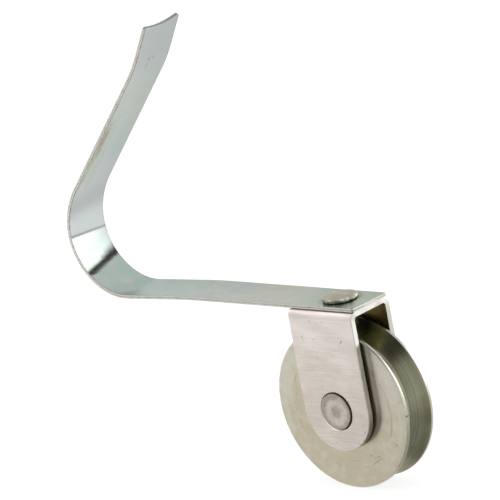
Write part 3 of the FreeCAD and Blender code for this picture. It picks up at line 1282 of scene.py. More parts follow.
class WheelGround:
    """Where a point of the wheel lies, with the noises that all of its finish shares."""

    def __init__(self, graph: Graph, sizes: WheelSizes, finish: "TurnedSteelFinish") -> None:
        """Read the place and lay the noises.

        Args:
            graph: The finish's graph.
            sizes: The wheel's sizes.
            finish: The finish, which gives the noises and the insets.
        """
        self.graph = graph
        self.sizes = sizes
        self.place = graph.own_place()
        self.right, self.side, self.up = graph.parts(self.place)
        self.radius = distance(self.right, self.up)
        self.on_face = abs(self.side).rise_under(sizes.face, finish.face_inset)
        self.in_groove = self.radius.rise_under(sizes.rim, finish.groove_inset) * (1.0 - self.on_face)
        self.rings = self.ring_noise(finish.rings, 0.0)
        self.slow_rings = self.ring_noise(finish.slow_rings, 3.0)
        self.clouds = graph.noise(self.place, finish.clouds)
        self.mottle = graph.noise(self.place, finish.mottle)

    def towards(self, way: Plane) -> Value:
        """How far a point lies towards a way, in radii of the wheel."""
        return (self.right * way[0] + self.up * way[1]) / self.sizes.rim

    def ring_noise(self, grain: Grain, third: Term) -> Value:
        """Add noise that runs round the wheel in rings."""
        return self.graph.noise(self.graph.joined(self.radius, self.side, third), grain)


@dataclass(frozen=True)
class TurnedSteelFinish:
    """Turned and thinly plated steel: fine rings on the faces, streaks of old oil in the groove.

    Insets are distances under the rim, a face or the groove's root, and negative ones lie above it.
    Ways are directions in the plane of the face, to the right and up.
    """

    face: Colour = (0.485, 0.435, 0.325, 1.0)
    cool: Colour = (0.570, 0.548, 0.470, 1.0)
    land: Colour = (0.385, 0.37, 0.32, 1.0)
    # Painted highlight: colour of the lands towards the upper right.
    highlight_land: Colour = (0.62, 0.60, 0.54, 1.0)
    burr: Colour = (0.70, 0.67, 0.58, 1.0)
    groove: Colour = (0.365, 0.374, 0.268, 1.0)
    oil: Colour = (0.285, 0.268, 0.172, 1.0)
    root: Colour = (0.29, 0.29, 0.20, 1.0)
    # Dark fine scores in the groove, also the painted shade of the near land at the lower right.
    scores_and_shade: Colour = (0.20, 0.175, 0.10, 1.0)
    fleck: Colour = (0.09, 0.07, 0.04, 1.0)
    rings: Grain = Grain(1500.0, 3.0, 0.003 * MM)
    slow_rings: Grain = Grain(330.0, 2.0, 0.008 * MM)
    clouds: Grain = Grain(110.0, 4.0, 0.02 * MM)
    mottle: Grain = Grain(420.0, 4.0, 0.004 * MM)
    arcs: Grain = Grain(2400.0, 4.0)
    breaks: Grain = Grain(170.0)
    tracks: Grain = Grain(900.0, 3.0)
    scores: Grain = Grain(2700.0, 3.0)
    rust: Grain = Grain(1300.0)
    roughness: float = 0.25
    ring_roughness: float = 0.05
    mottle_roughness: float = 0.06
    rim_polish: float = 0.05
    arc_waver: float = 0.4 * MM
    track_waver: float = 2.0 * MM
    score_waver: float = 0.5 * MM
    face_inset: Span = mm(0.3, 0.05)
    groove_inset: Span = mm(0.02, 0.2)
    chamfer_inset: Span = mm(0.28, 0.2)
    deep_inset: Span = mm(0.8, 2.4)
    root_inset: Span = mm(-0.3, -0.1)
    rust_inset: Span = mm(2.2, 0.2)
    fleck_inset: Span = mm(-1.2, -0.9)
    near_side: Span = mm(1.0, -1.0)
    highlight_way: Plane = (0.87, 0.5)
    highlight_part: Span = (0.88, 0.96)
    shade_way: Plane = (0.64, -0.77)
    shade_part: Span = (0.45, 0.85)

    def material(self, sizes: WheelSizes, marks: Sequence[Mark]) -> bpy.types.Material:
        """Build the finish.

        Args:
            sizes: The wheel's sizes.
            marks: Flecks on the near face.

        Returns:
            The material.
        """
        material, graph = new_graph("turned_wheel_steel")
        ground = WheelGround(graph, sizes, self)
        off_face = 1.0 - ground.on_face
        colour = graph.mixed(off_face * (1.0 - ground.in_groove), self._face(ground), self._land(ground))
        chamfer = ground.radius.rise_under(sizes.rim, self.chamfer_inset)
        chamfer = chamfer * abs(ground.side).rise_under(sizes.face, self.chamfer_inset)
        colour = graph.mixed(chamfer, colour, self.burr)
        colour = graph.mixed(ground.in_groove, colour, self._groove(ground))
        colour = graph.mixed(self._flecks(ground, marks), colour, self.fleck)
        roughness = self.roughness + ground.rings * self.ring_roughness
        roughness = roughness + ground.mottle * self.mottle_roughness - off_face * self.rim_polish
        height = ground.rings * self.rings.relief + ground.slow_rings * self.slow_rings.relief
        height = height + ground.clouds * self.clouds.relief + ground.mottle * self.mottle.relief
        graph.finish_metal(colour, roughness, height)
        return material

    def _face(self, ground: WheelGround) -> Socket:
        """Colour the turned faces: cooler towards the top, with broken arcs of oil.

        Args:
            ground: Where a point of the wheel lies.

        Returns:
            The colour of the faces.
        """
        graph = ground.graph
        slope = (ground.up * 1.5 + ground.right * 0.2) * (1.0 / (2.2 * ground.sizes.rim))
        cool = slope * 0.6 + ground.clouds + (ground.mottle - 0.5) * 1.5
        cool = cool + (ground.slow_rings - 0.5) * 0.9 + (ground.rings - 0.5) * 0.4
        colour = graph.mixed(cool.rise(0.0, 1.0), self.face, self.cool)
        wavering = graph.joined(ground.radius, ground.clouds * self.arc_waver, 7.0)
        arcs = graph.noise(wavering, self.arcs).rise(0.56, 0.72)
        broken = graph.noise(ground.place, self.breaks).rise(0.46, 0.62)
        return graph.mixed(arcs * broken * 0.7, colour, self.oil)

    def _land(self, ground: WheelGround) -> Socket:
        """Colour the rim lands: a painted highlight at the upper right, and painted shade at the lower
        right of the near one.

        Args:
            ground: Where a point of the wheel lies.

        Returns:
            The colour of the lands.
        """
        # Painted highlight on the lands towards the upper right, and painted shade on the near land
        # towards the lower right.
        rubbed = ground.towards(self.highlight_way).rise(*self.highlight_part)
        land_shade = ground.towards(self.shade_way).rise(*self.shade_part)
        land_shade = land_shade * ground.side.rise(*self.near_side)
        dull = ground.graph.mixed(land_shade * 0.8, self.land, self.scores_and_shade)
        return ground.graph.mixed(rubbed, dull, self.highlight_land)

    def _groove(self, ground: WheelGround) -> Socket:
        """Colour the groove: tracks of wear and old oil, fine scores, a dull root.

        Args:
            ground: Where a point of the wheel lies.

        Returns:
            The colour of the groove.
        """
        graph, rim = ground.graph, ground.sizes.rim
        tracks = ground.ring_noise(self.tracks, ground.clouds * self.track_waver)
        deep = ground.radius.rise_under(rim, self.deep_inset)
        clean = tracks * 0.6 + ground.clouds * 0.9 + ground.mottle * 0.3 + deep * 0.15
        worn = graph.mixed(clean.rise(0.70, 1.15), self.oil, self.groove)
        scores = ground.ring_noise(self.scores, ground.clouds * self.score_waver)
        worn = graph.mixed(scores.rise(0.46, 0.62) * 0.45, worn, self.scores_and_shade)
        at_root = ground.radius.rise_under(rim - ground.sizes.depth, self.root_inset)
        return graph.mixed(at_root, worn, self.root)

    def _flecks(self, ground: WheelGround, marks: Sequence[Mark]) -> Value:
        """Lay the dark flecks of the near face and the fine rust near the rim.

        Args:
            ground: Where a point of the wheel lies.
            marks: The flecks.

        Returns:
            The share of the flecks' colour.
        """
        rust = ground.graph.noise(ground.place, self.rust).rise(0.64, 0.72)
        rust = rust * ground.radius.rise_under(ground.sizes.rim, self.rust_inset)
        near = ground.side.rise_under(-ground.sizes.face, self.fleck_inset)
        drawn = draw_marks(marks, ground.right, ground.up) * near
        return drawn.most(rust * ground.on_face * 0.6)


@dataclass(frozen=True)
class SpunPinFinish:
    """A pin end that was spun over: a rubbed pale ring round a duller middle, both clouded, and painted
    shade in the gap on its right.
    """

    bright: Colour = (0.560, 0.505, 0.450, 1.0)
    rubbed: Colour = (0.335, 0.285, 0.240, 1.0)
    # Painted shade: colour of the gap round the pin end on its shadowed side.
    gap: Colour = (0.07, 0.055, 0.04, 1.0)
    swirl: Grain = Grain(520.0, 4.0, 0.03 * MM)
    scuff: Grain = Grain(1500.0, 3.0, 0.006 * MM)
    roughness: float = 0.34
    scuff_roughness: float = 0.08
    ring_inside: Span = (0.20, 0.46)
    ring_outside: Span = (0.92, 0.66)
    shade_ring: Span = (0.945, 0.985)

    def material(self, radius: float) -> bpy.types.Material:
        """Build the finish.

        Args:
            radius: Radius of the pin's end.

        Returns:
            The material.
        """
        material, graph = new_graph("spun_axle_steel")
        place = graph.own_place()
        right, _, up = graph.parts(place)
        swirl = graph.noise(place, self.swirl)
        scuff = graph.noise(place, self.scuff)
        plain = distance(right, up) / radius
        away = plain + (swirl - 0.5) * 0.5
        upper_left = ((up - right) / radius).rise(0.0, 1.2)
        pale = away.rise(*self.ring_inside) * (away + upper_left * 0.2).rise(*self.ring_outside)
        colour = graph.mixed((pale * 0.75 + (scuff - 0.42) * 1.1).clamped(), self.rubbed, self.bright)
        # Painted shade: the gap round the pin end is drawn dark only on its right, where the shadow falls.
        lean = ((right * 0.8 + up * 0.35) / radius).rise(-1.1, 0.1)
        colour = graph.mixed(plain.rise(*self.shade_ring) * lean, colour, self.gap)
        height = swirl * self.swirl.relief + scuff * self.scuff.relief
        graph.finish_metal(colour, self.roughness + scuff * self.scuff_roughness, height)
        return material


@dataclass(frozen=True)
class RivetFinish:
    """Plain headed rivet: a dull warm head, a bright rim that is partly pressed by the set and partly
    painted highlight, and painted shadow under the head.
    """

    head: Colour = (0.325, 0.315, 0.210, 1.0)
    patch: Colour = (0.430, 0.405, 0.300, 1.0)
    rim: Colour = (0.62, 0.62, 0.56, 1.0)
    # Painted shadow: colour of the foot of the head and everything under it.
    below: Colour = (0.055, 0.085, 0.085, 1.0)
    clouds: Grain = Grain(420.0, 4.0, 0.04 * MM)
    pressed: Grain = Grain(900.0, 3.0, 0.012 * MM)
    roughness: float = 0.24
    cloud_roughness: float = 0.1
    highlight_ring: Span = (0.70, 0.95)
    shadow_under_head: Span = mm(0.34, 0.06)
    under_waver: float = 1.2 * MM

    def material(self, middle: Vector, radius: float) -> bpy.types.Material:
        """Build the finish.

        Args:
            middle: The point of the rivet's axis where its head sits.
            radius: Radius of its head.

        Returns:
            The material.
        """
        material, graph = new_graph("rivet_steel")
        place = graph.own_place()
        right, side, up = graph.parts(place)
        away = distance(right - middle.x, side) / radius
        clouds = graph.noise(place, self.clouds)
        pressed = graph.noise(place, self.pressed)
        colour = graph.mixed(clouds.rise(0.40, 0.65), self.head, self.patch)
        # Partly painted highlight: bright patches round the head's rim, where the set pressed it and where
        # light glints.
        colour = graph.mixed(away.rise(*self.highlight_ring) * pressed.rise(0.46, 0.62), colour, self.rim)
        # Painted shadow: the foot of the head and everything under it are painted near black, with a
        # ragged edge.
        on_head = up - middle.z + (pressed - 0.5) * self.under_waver
        colour = graph.mixed(on_head.rise(*self.shadow_under_head), colour, self.below)
        height = clouds * self.clouds.relief + pressed * self.pressed.relief
        graph.finish_metal(colour, self.roughness + clouds * self.cloud_roughness, height)
        return material


# Pieces


@dataclass
class RollerPiece:
    """A piece of the roller that stands for one of its solids."""

    node: Node
    slot: Slot
    body: Body
    name: str

    def seat(self, piece: bpy.types.Object, material: bpy.types.Material) -> bpy.types.Object:
        """Dress a built piece and put it in the place of its solid.

        Args:
            piece: The built object.
            material: Its finish.

        Returns:
            The same object.
        """
        piece.data.materials.append(material)
        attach(piece, self.body.value)
        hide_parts(self.node.value)
        return piece


@dataclass
class SpringArm(RollerPiece):
    """The bent spring strip, walked from the fork to its hollow-cut tip along its concave side."""

    node: Node = Node.ARM
    slot: Slot = Slot.ARM
    body: Body = Body.FORK
    name: str = "arm_strip"
    thickness: float = 0.85 * MM
    corner_round: float = 0.5 * MM
    edge_round: float = 0.11 * MM
    hollow_depth: float = 0.95 * MM
    hole_radius: float = 2.4 * MM
    hole_place: float = 8.725 * MM
    seat_top: float = 24.70 * MM
    heading: float = 180.0
    course: tuple[Stretch, ...] = (
        Straight(47.0 * MM),
        Bend(165.0 * MM, 2.56, Sense.LEFT),
        Straight(15.5 * MM),
        Bend(13.7 * MM, 113.8, Sense.RIGHT),
        Bend(21.1 * MM, 19.75, Sense.RIGHT),
        Straight(35.6 * MM),
        Bend(41.3 * MM, 10.0, Sense.LEFT),
        Straight(8.7 * MM),
    )
    marks: tuple[Mark, ...] = (
        Mark(*mm(119.0, 4.8, 17.0, 2.6), -2.0, 0.55),
        Mark(*mm(121.0, 4.8, 8.0, 1.7), -3.0, 1.0),
        Mark(*mm(116.5, 4.5, 3.5, 1.6), 8.0, 0.8),
        Mark(*mm(129.0, 5.5, 12.0, 0.6), 0.0, 0.55),
        Mark(*mm(108.0, 5.1, 10.0, 1.0), -5.0, 0.5),
        Mark(*mm(145.6, 1.2, 1.6, 1.0), 30.0, 0.35),
        Mark(*mm(145.7, -0.2, 1.3, 0.9), 0.0, 0.45),
        Mark(*mm(143.6, 1.5, 2.2, 0.8), 0.0, 0.35),
    )
    tarnish: tuple[Mark, ...] = (
        Mark(*mm(113.0, 4.0, 16.0, 6.0), -5.0, 0.85),
        Mark(*mm(122.0, 4.2, 14.0, 5.0), -2.0, 0.7),
        Mark(*mm(107.0, 2.6, 7.0, 4.0), 10.0, 0.6),
    )

    def build(self) -> bpy.types.Object:
        """Make and seat the strip.

        Returns:
            The strip.
        """
        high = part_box(self.node.value)[1]
        path = FoldPath((high.x, self.seat_top), self.heading, self.course, (X_AXIS, Z_AXIS))
        rim = self._outline(path, high.y)
        hole = Rim.hole((self.hole_place, 0.0), self.hole_radius, self.edge_round)
        strip = FoldedSheet(path, rim, [hole], self.thickness).build(self.name)
        blank = StripBlank(path.length, high.y, self.thickness, self.hole_place)
        return self.seat(strip, ZincStripFinish().material(blank, self.marks, self.tarnish))

    def _outline(self, path: FoldPath, half: float) -> Rim:
        """Draw the flat strip: square at the fork, hollow at the tip, with small round corners.

        Args:
            path: Side view of the strip.
            half: Half its width.

        Returns:
            The outer rim.
        """
        corner = self.corner_round
        hollow = (half ** 2 + self.hollow_depth ** 2) / (2 * self.hollow_depth)
        middle = path.length + hollow - self.hollow_depth
        inner = half - corner
        tip = middle - math.sqrt((hollow + corner) ** 2 - inner ** 2)
        lean = math.degrees(math.atan2(inner, middle - tip))
        stops = path.stations()
        rim = Rim(self.edge_round)
        rim.line((corner, -half), (tip, -half), stops)
        rim.arc((tip, -inner), corner, -90.0, lean)
        rim.arc((middle, 0.0), hollow, 180.0 + lean, 180.0 - lean)
        rim.arc((tip, inner), corner, -lean, 90.0)
        rim.line((tip, half), (corner, half), stops)
        rim.arc((corner, inner), corner, 90.0, 180.0)
        rim.arc((corner, -inner), corner, 180.0, 270.0)
        return rim


@dataclass
class Clevis(RollerPiece):
    """The fork folded from one strip, walked up the far cheek, over the web and down the near cheek.

    Its scratches are measured across and up from the axle, as the near cheek shows them.
    """

    node: Node = Node.CLEVIS
    slot: Slot = Slot.CLEVIS
    body: Body = Body.FORK
    name: str = "fork_sheet"
    thickness: float = 1.37 * MM
    fold_radius: float = 0.7 * MM
    edge_round: float = 0.14 * MM
    axle_hole_radius: float = 4.4 * MM
    hole_round: float = 0.3 * MM
    rivet_hole_radius: float = 2.4 * MM
    rivet_offset: float = 1.2 * MM
    heading: float = 90.0
    scratches: tuple[Mark, ...] = (
        Mark(*mm(-6.4, 17.2, 1.5, 0.20), 72.0, 0.7),
        Mark(*mm(5.3, 16.9, 1.2, 0.24), -48.0, 0.9),
        Mark(*mm(4.7, 16.1, 0.6, 0.20), -35.0, 0.6),
        Mark(*mm(-3.2, 21.3, 1.0, 0.16), 28.0, 0.4),
        Mark(*mm(-1.0, 21.0, 0.8, 0.16), -20.0, 0.45),
        Mark(*mm(7.5, -4.6, 0.7, 0.25), 80.0, 0.9),
        Mark(*mm(7.3, -0.6, 0.7, 0.22), 70.0, 0.6),
        Mark(*mm(2.0, 13.5, 1.1, 0.16), 10.0, 0.35),
        Mark(*mm(-2.5, 10.0, 1.6, 0.14), -4.0, 0.3),
        Mark(*mm(-7.0, 4.6, 0.8, 0.16), 35.0, 0.4),
    )

    def build(self) -> bpy.types.Object:
        """Make and seat the fork.

        Returns:
            The fork.
        """
        low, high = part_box(self.node.value)
        cheek = high.x
        outer_bend = self.fold_radius + self.thickness
        side = Straight(high.z - outer_bend - low.z)
        fold = Bend(outer_bend, 90.0, Sense.LEFT)
        course = (side, fold, Straight(2 * (high.y - outer_bend)), fold, side)
        path = FoldPath((high.y, low.z), self.heading, course, (Y_AXIS, Z_AXIS))
        far = path.length - cheek
        axle_holes = [
            Rim.hole((middle, 0.0), self.axle_hole_radius, self.hole_round) for middle in (cheek, far)
        ]
        rivet_place = (path.length / 2, self.rivet_offset)
        rivet_hole = Rim.hole(rivet_place, self.rivet_hole_radius, self.edge_round)
        rim = self._outline(path, cheek)
        sheet = FoldedSheet(path, rim, [*axle_holes, rivet_hole], self.thickness).build(self.name)
        marks = [
            replace(mark, first=far - mark.second, second=mark.first, angle=90.0 - mark.angle)
            for mark in self.scratches
        ]
        near = RingPlace(far, 0.0, self.axle_hole_radius)
        return self.seat(sheet, FoldedSheetFinish().material(self.thickness, path.length, near, marks))

    def _outline(self, path: FoldPath, cheek: float) -> Rim:
        """Draw the flat sheet with its two round ends.

        Args:
            path: The fork's fold seen from the front.
            cheek: Half the sheet's width, and the radius of its ends.

        Returns:
            The outer rim.
        """
        stops = path.stations()
        far = path.length - cheek
        rim = Rim(self.edge_round)
        rim.line((cheek, -cheek), (far, -cheek), stops)
        rim.arc((far, 0.0), cheek, -90.0, 90.0)
        rim.line((far, cheek), (cheek, cheek), stops)
        rim.arc((cheek, 0.0), cheek, 90.0, 270.0)
        return rim


@dataclass
class AxlePin(RollerPiece):
    """The shouldered pin with its ends spun over in the cheeks."""

    node: Node = Node.AXLE
    slot: Slot = Slot.AXLE
    body: Body = Body.FORK
    name: str = "axle_pin"
    journal_radius: float = 6.0 * MM
    end_radius: float = 4.4 * MM
    shoulder: float = 5.3 * MM
    end_round: float = 0.28 * MM
    small_round: float = 0.08 * MM

    def build(self) -> bpy.types.Object:
        """Make and seat the pin.

        Returns:
            The pin.
        """
        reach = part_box(self.node.value)[1].y
        half = [
            Corner(self.journal_radius, self.shoulder, self.small_round),
            Corner(self.end_radius, self.shoulder, self.small_round),
            Corner(self.end_radius, reach, self.end_round),
            Corner(0.0, reach),
        ]
        piece = TurnedPiece(mirrored(half), Y_AXIS).build(self.name)
        return self.seat(piece, SpunPinFinish().material(self.end_radius))


@dataclass
class ArmRivet(RollerPiece):
    """The rivet that holds the arm on the fork: a low crowned head above, a closed end below."""

    node: Node = Node.RIVET
    slot: Slot = Slot.RIVET
    body: Body = Body.FORK
    name: str = "rivet_head_and_tail"
    head_radius: float = 4.2 * MM
    shank_radius: float = 2.4 * MM
    tail_radius: float = 3.5 * MM
    grip: float = 2.22 * MM
    seat_top: float = 24.70 * MM
    rim_round: float = 0.3 * MM
    small_round: float = 0.06 * MM
    undercut: float = 0.2 * MM
    crown: float = 0.2 * MM
    crown_rings: int = 6
    tail_round: float = 0.5 * MM
    hammered: float = 0.30 * MM
    hammer_waves: tuple[float, float] = (1.3, 4.2)
    hammered_behind: float = 0.25

    def build(self) -> bpy.types.Object:
        """Make and seat the rivet.

        Returns:
            The rivet.
        """
        low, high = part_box(self.node.value)
        middle = Vector(((low.x + high.x) / 2, 0.0, self.seat_top))
        top, bottom = high.z - middle.z, low.z - middle.z
        small = self.small_round
        corners = [
            Corner(0.0, bottom),
            Corner(self.tail_radius, bottom, self.tail_round),
            Corner(self.tail_radius, -self.grip, small),
            Corner(self.shank_radius, -self.grip, small),
            Corner(self.shank_radius, 0.0, small),
            Corner(self.head_radius - self.undercut, 0.0, small),
            Corner(self.head_radius, self.undercut, small),
            Corner(self.head_radius, top - self.crown, self.rim_round),
            *self._crown(top),
        ]
        piece = TurnedPiece(corners, Z_AXIS, middle).build(self.name)
        self._hammer(piece, middle)
        return self.seat(piece, RivetFinish().material(middle, self.head_radius))

    def _hammer(self, piece: bpy.types.Object, middle: Vector) -> None:
        """Press the head's rim in a little here and there, as the set left it, and most in front.

        Args:
            piece: The turned rivet.
            middle: The point of its axis where its head sits.
        """
        slow, quick = self.hammer_waves
        for vertex in piece.data.vertices:
            away = vertex.co - middle
            flat = Vector((away.x, away.y, 0.0))
            if away.z > 0.0 and flat.length > self.shank_radius:
                share = (flat.length - self.shank_radius) / (self.head_radius - self.shank_radius)
                out = flat.normalized()
                ragged = 0.5 + 0.5 * noise.noise(out * slow) + 0.5 * noise.noise(out * quick)
                front = self.hammered_behind + (1.0 - self.hammered_behind) * max(-out.y, 0.0)
                vertex.co -= out * (self.hammered * share * front * min(max(ragged, 0.0), 1.0))

    def _crown(self, top: float) -> list[Corner]:
        """Draw the low crown of the head.

        Args:
            top: Height of its middle.

        Returns:
            Corners from the rim to the axis.
        """
        corners = []
        for ring in range(1, self.crown_rings + 1):
            share = 1 - ring / self.crown_rings
            rounding = self.rim_round if share else 0.0
            corners.append(Corner(self.head_radius * share, top - self.crown * share ** 2, rounding))
        return corners


@dataclass
class GrooveWheel(RollerPiece):
    """The turned wheel with its V groove. Its flecks are measured right and up from the axle."""

    node: Node = Node.WHEEL
    slot: Slot = Slot.WHEEL
    body: Body = Body.ROLLER
    name: str = "groove_wheel"
    face: float = 4.6 * MM
    rim_land: float = 0.8 * MM
    rim_chamfer: float = 0.25 * MM
    groove_angle: float = 80.0
    groove_root: float = 0.6 * MM
    boss_radius: float = 7.5 * MM
    bore_radius: float = 6.05 * MM
    root_round: float = 0.4 * MM
    mouth_round: float = 0.10 * MM
    small_round: float = 0.06 * MM
    flecks: tuple[Mark, ...] = (
        Mark(*mm(6.0, -10.9, 0.45, 0.25), 20.0, 0.8),
        Mark(*mm(7.4, -11.2, 0.40, 0.22), -10.0, 0.7),
        Mark(*mm(8.4, -11.0, 0.50, 0.28), 30.0, 0.85),
        Mark(*mm(9.2, -11.5, 0.35, 0.30), 0.0, 0.8),
        Mark(*mm(14.5, -7.8, 0.6, 0.25), 70.0, 0.8),
        Mark(*mm(-13.9, -5.4, 0.4, 0.3), 0.0, 0.5),
        Mark(*mm(-7.8, -12.9, 0.4, 0.25), 40.0, 0.5),
        Mark(*mm(18.95, -0.6, 0.35, 0.35), 0.0, 0.9),
        Mark(*mm(12.6, -2.5, 0.5, 0.18), 25.0, 0.5),
        Mark(*mm(16.2, -9.6, 0.5, 0.2), 65.0, 0.5),
        Mark(*mm(-2.4, -15.5, 0.9, 0.14), 5.0, 0.4),
        Mark(*mm(11.2, 8.4, 0.7, 0.14), -40.0, 0.4),
        Mark(*mm(-14.6, 3.0, 0.6, 0.16), 75.0, 0.45),
    )

    def build(self) -> bpy.types.Object:
        """Make and seat the wheel.

        Returns:
            The wheel.
        """
        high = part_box(self.node.value)[1]
        rim, hub = high.x, high.y
        mouth = self.face - self.rim_land
        depth = (mouth - self.groove_root) / math.tan(math.radians(self.groove_angle / 2))
        small = self.small_round
        half = [
            Corner(rim - depth, self.groove_root, self.root_round),
            Corner(rim, mouth, self.mouth_round),
            Corner(rim, self.face - self.rim_chamfer, small),
            Corner(rim - self.rim_chamfer, self.face, small),
            Corner(self.boss_radius, self.face, small),
            Corner(self.boss_radius, hub, small),
            Corner(self.bore_radius, hub, small),
        ]
        piece = TurnedPiece(mirrored(half), Y_AXIS).build(self.name)
        sizes = WheelSizes(rim, depth, self.face)
        return self.seat(piece, TurnedSteelFinish().material(sizes, self.flecks))


# Studio


def direction_of(azimuth: float, elevation: float) -> Vector:
    """Turn an azimuth from the front and an elevation into a direction.

    Args:
        azimuth: Degrees from the front, towards the right.
        elevation: Degrees above the level.

    Returns:
        A vector of length 1.
    """
    turned, raised = math.radians(azimuth), math.radians(elevation)
    level = math.cos(raised)
    return Vector((math.sin(turned) * level, -math.cos(turned) * level, math.sin(raised)))


@dataclass
class ViewCamera:
    """The camera, aimed at the arm's gap from the side of the wheel."""

    aim: Vector = field(default_factory=lambda: Vector((-22.390, -1.526, 35.461)) * MM)
    distance: float = 1.65
    azimuth: float = 44.5147
    elevation: float = 15.6761
    roll: float = -10.8136
    lens: float = 524.83
    nearest: float = 0.05
    furthest: float = 20.0

    def build(self) -> None:
        """Set the camera up as the scene's camera."""
        data = bpy.data.cameras.new("view_camera")
        data.lens = self.lens
        data.clip_start, data.clip_end = self.nearest, self.furthest
        camera = add_object("view_camera", data)
        back = direction_of(self.azimuth, self.elevation)
        upright = (-back).to_track_quat("-Z", "Y").to_matrix()
        rolled = upright @ Matrix.Rotation(math.radians(self.roll), 3, "Z")
        camera.matrix_world = Matrix.Translation(self.aim + back * self.distance) @ rolled.to_4x4()
        bpy.context.scene.camera = camera


@dataclass(frozen=True)
class TentPatch:
    """A part of the light tent with a level of its own, fading out between two angles from its middle."""

    azimuth: float
    elevation: float
    level: float
    inner: float
    outer: float

    def share(self, graph: Graph, direction: Socket) -> Value:
        """How far a direction lies in the patch.

        Args:
            graph: The graph it is worked out in.
            direction: A vector of length 1.

        Returns:
            1 in the patch and 0 outside it.
        """
        towards = graph.along(direction, direction_of(self.azimuth, self.elevation))
        return towards.rise(math.cos(math.radians(self.outer)), math.cos(math.radians(self.inner)))


@dataclass
class Studio:
    """A pale floor in a white tent with darker and brighter patches, and a lit panel behind the roller.

    Spans on the panel are distances along its foot from its middle, to the right.
    """

    floor_size: float = 6.0
    floor_paint: float = 0.9
    floor_glow: float = 1.15
    floor_glow_share: float = 0.75
    panel_middle: Vector = field(default_factory=lambda: Vector((0.185, 0.256, 0.1255)))
    panel_size: tuple[float, float] = (0.42, 0.289)
    panel_level: float = 2.4
    panel_top_level: float = 0.012
    panel_fade: tuple[float, float] = (0.012, 0.130)
    panel_fade_span: Span = (-0.09, 0.08)
    panel_dim_level: float = 0.62
    panel_dim_span: Span = (0.0, 0.11)
    rim_height: float = 0.080
    rim_fade: Span = (0.62, 0.88)
    foot_height: float = 0.020
    foot_lean: tuple[float, float] = (-0.069, 0.029)
    foot_level: float = 0.68
    ragged_hem: float = 0.16
    hem_waves: Grain = Grain(110.0, 3.0)
    cloth: Colour = (0.038, 0.031, 0.017, 1.0)
    softbox_place: tuple[float, float, float] = (-68.0, 43.0, 0.9)
    softbox_size: float = 0.5
    softbox_power: float = 0.42
    patches: tuple[TentPatch, ...] = (
        TentPatch(22.0, 14.0, 0.60, 14.0, 34.0),
        TentPatch(7.0, 43.0, 0.12, 15.0, 24.0),
        TentPatch(14.0, -48.0, 0.36, 20.0, 50.0),
        TentPatch(-135.5, 15.0, 0.85, 14.0, 38.0),
        TentPatch(138.0, -13.0, 1.40, 8.0, 40.0),
        TentPatch(-23.0, -15.0, 0.03, 12.0, 26.0),
        TentPatch(-64.0, -16.0, 2.28, 6.0, 24.0),
    )

    def build(self) -> None:
        """Set up tent, floor, lamp and panel."""
        bpy.context.scene.view_settings.view_transform = "Standard"
        self._world()
        self._floor()
        self._softbox()
        self._panel()

    def _world(self) -> None:
        """Make the tent: white to the camera, with its patches in light and reflections."""
        world = bpy.data.worlds.new("light_tent")
        world.use_nodes = True
        bpy.context.scene.world = world
        graph = Graph(world.node_tree)
        direction = graph.node("ShaderNodeTexCoord").outputs["Generated"]
        level: Term = 1.0
        for patch in self.patches:
            level = patch.share(graph, direction) * (patch.level - 1.0) + level
        seen = graph.value(graph.node("ShaderNodeLightPath").outputs["Is Camera Ray"])
        colour = graph.mixed(seen, level.most(0.0), grey(1.0))
        background = graph.node("ShaderNodeBackground", sockets={"Color": colour, "Strength": 1.0})
        graph.node("ShaderNodeOutputWorld", sockets={"Surface": background.outputs[0]})

    def _floor(self) -> None:
        """Lay the floor under the wheel; reflections look past it into the tent."""
        half = self.floor_size / 2
        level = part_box(Node.WHEEL.value)[0].z
        ways = ((-half, -half), (half, -half), (half, half), (-half, half))
        floor = make_piece("floor", [Vector((*way, level)) for way in ways], [(0, 1, 2, 3)], [Z_AXIS] * 4)
        material, graph = new_graph("pale_floor")
        paint = graph.node("ShaderNodeBsdfDiffuse", sockets={"Color": grey(self.floor_paint)})
        light = {"Color": grey(1.0), "Strength": self.floor_glow}
        glow = graph.node("ShaderNodeEmission", sockets=light)
        lit = self._blend(graph, self.floor_glow_share, paint, glow)
        glossy = graph.node("ShaderNodeLightPath").outputs["Is Glossy Ray"]
        clear = graph.node("ShaderNodeBsdfTransparent")
        graph.surface(self._blend(graph, glossy, lit, clear))
        floor.data.materials.append(material)

    @staticmethod
    def _blend(graph: Graph, share: Union[float, Socket], first: bpy.types.Node,
               second: bpy.types.Node) -> bpy.types.Node:
        """Mix two shaders.

        Args:
            graph: Their graph.
            share: Share of the second shader.
            first: First shader.
            second: Second shader.

        Returns:
            The mixed shader.
        """
        sockets = {0: share, 1: first.outputs[0], 2: second.outputs[0]}
        return graph.node("ShaderNodeMixShader", sockets=sockets)

    def _softbox(self) -> None:
        """Hang a soft lamp high on the left, a little in front of the arm."""
        azimuth, elevation, reach = self.softbox_place
        lamp = bpy.data.lights.new("softbox", "AREA")
        lamp.size = self.softbox_size
        lamp.energy = self.softbox_power
        softbox = add_object("softbox", lamp)
        away = direction_of(azimuth, elevation)
        softbox.location = away * reach
        softbox.rotation_mode = "QUATERNION"
        softbox.rotation_quaternion = away.to_track_quat("Z", "Y")
        softbox.visible_camera = False

    def _panel(self) -> None:
        """Stand the lit panel behind the roller, with dark cloth above it and grey cloth at its foot."""
        top = self.panel_middle.z + self.panel_size[1] / 2
        foot = self.panel_middle.z - self.panel_size[1] / 2
        hem = [foot + lean for lean in self.foot_lean]
        seam = [height + self.foot_height for height in hem]
        self._sheet("back_panel", seam, [top, top], self._lit_finish(top))
        self._sheet("panel_top_cloth", [top, top], [top + self.rim_height] * 2, self._cloth_finish(top))
        pale, graph = new_graph("grey_cloth")
        self._glow(graph, grey(self.foot_level), 1.0)
        self._sheet("panel_foot_cloth", hem, seam, pale)

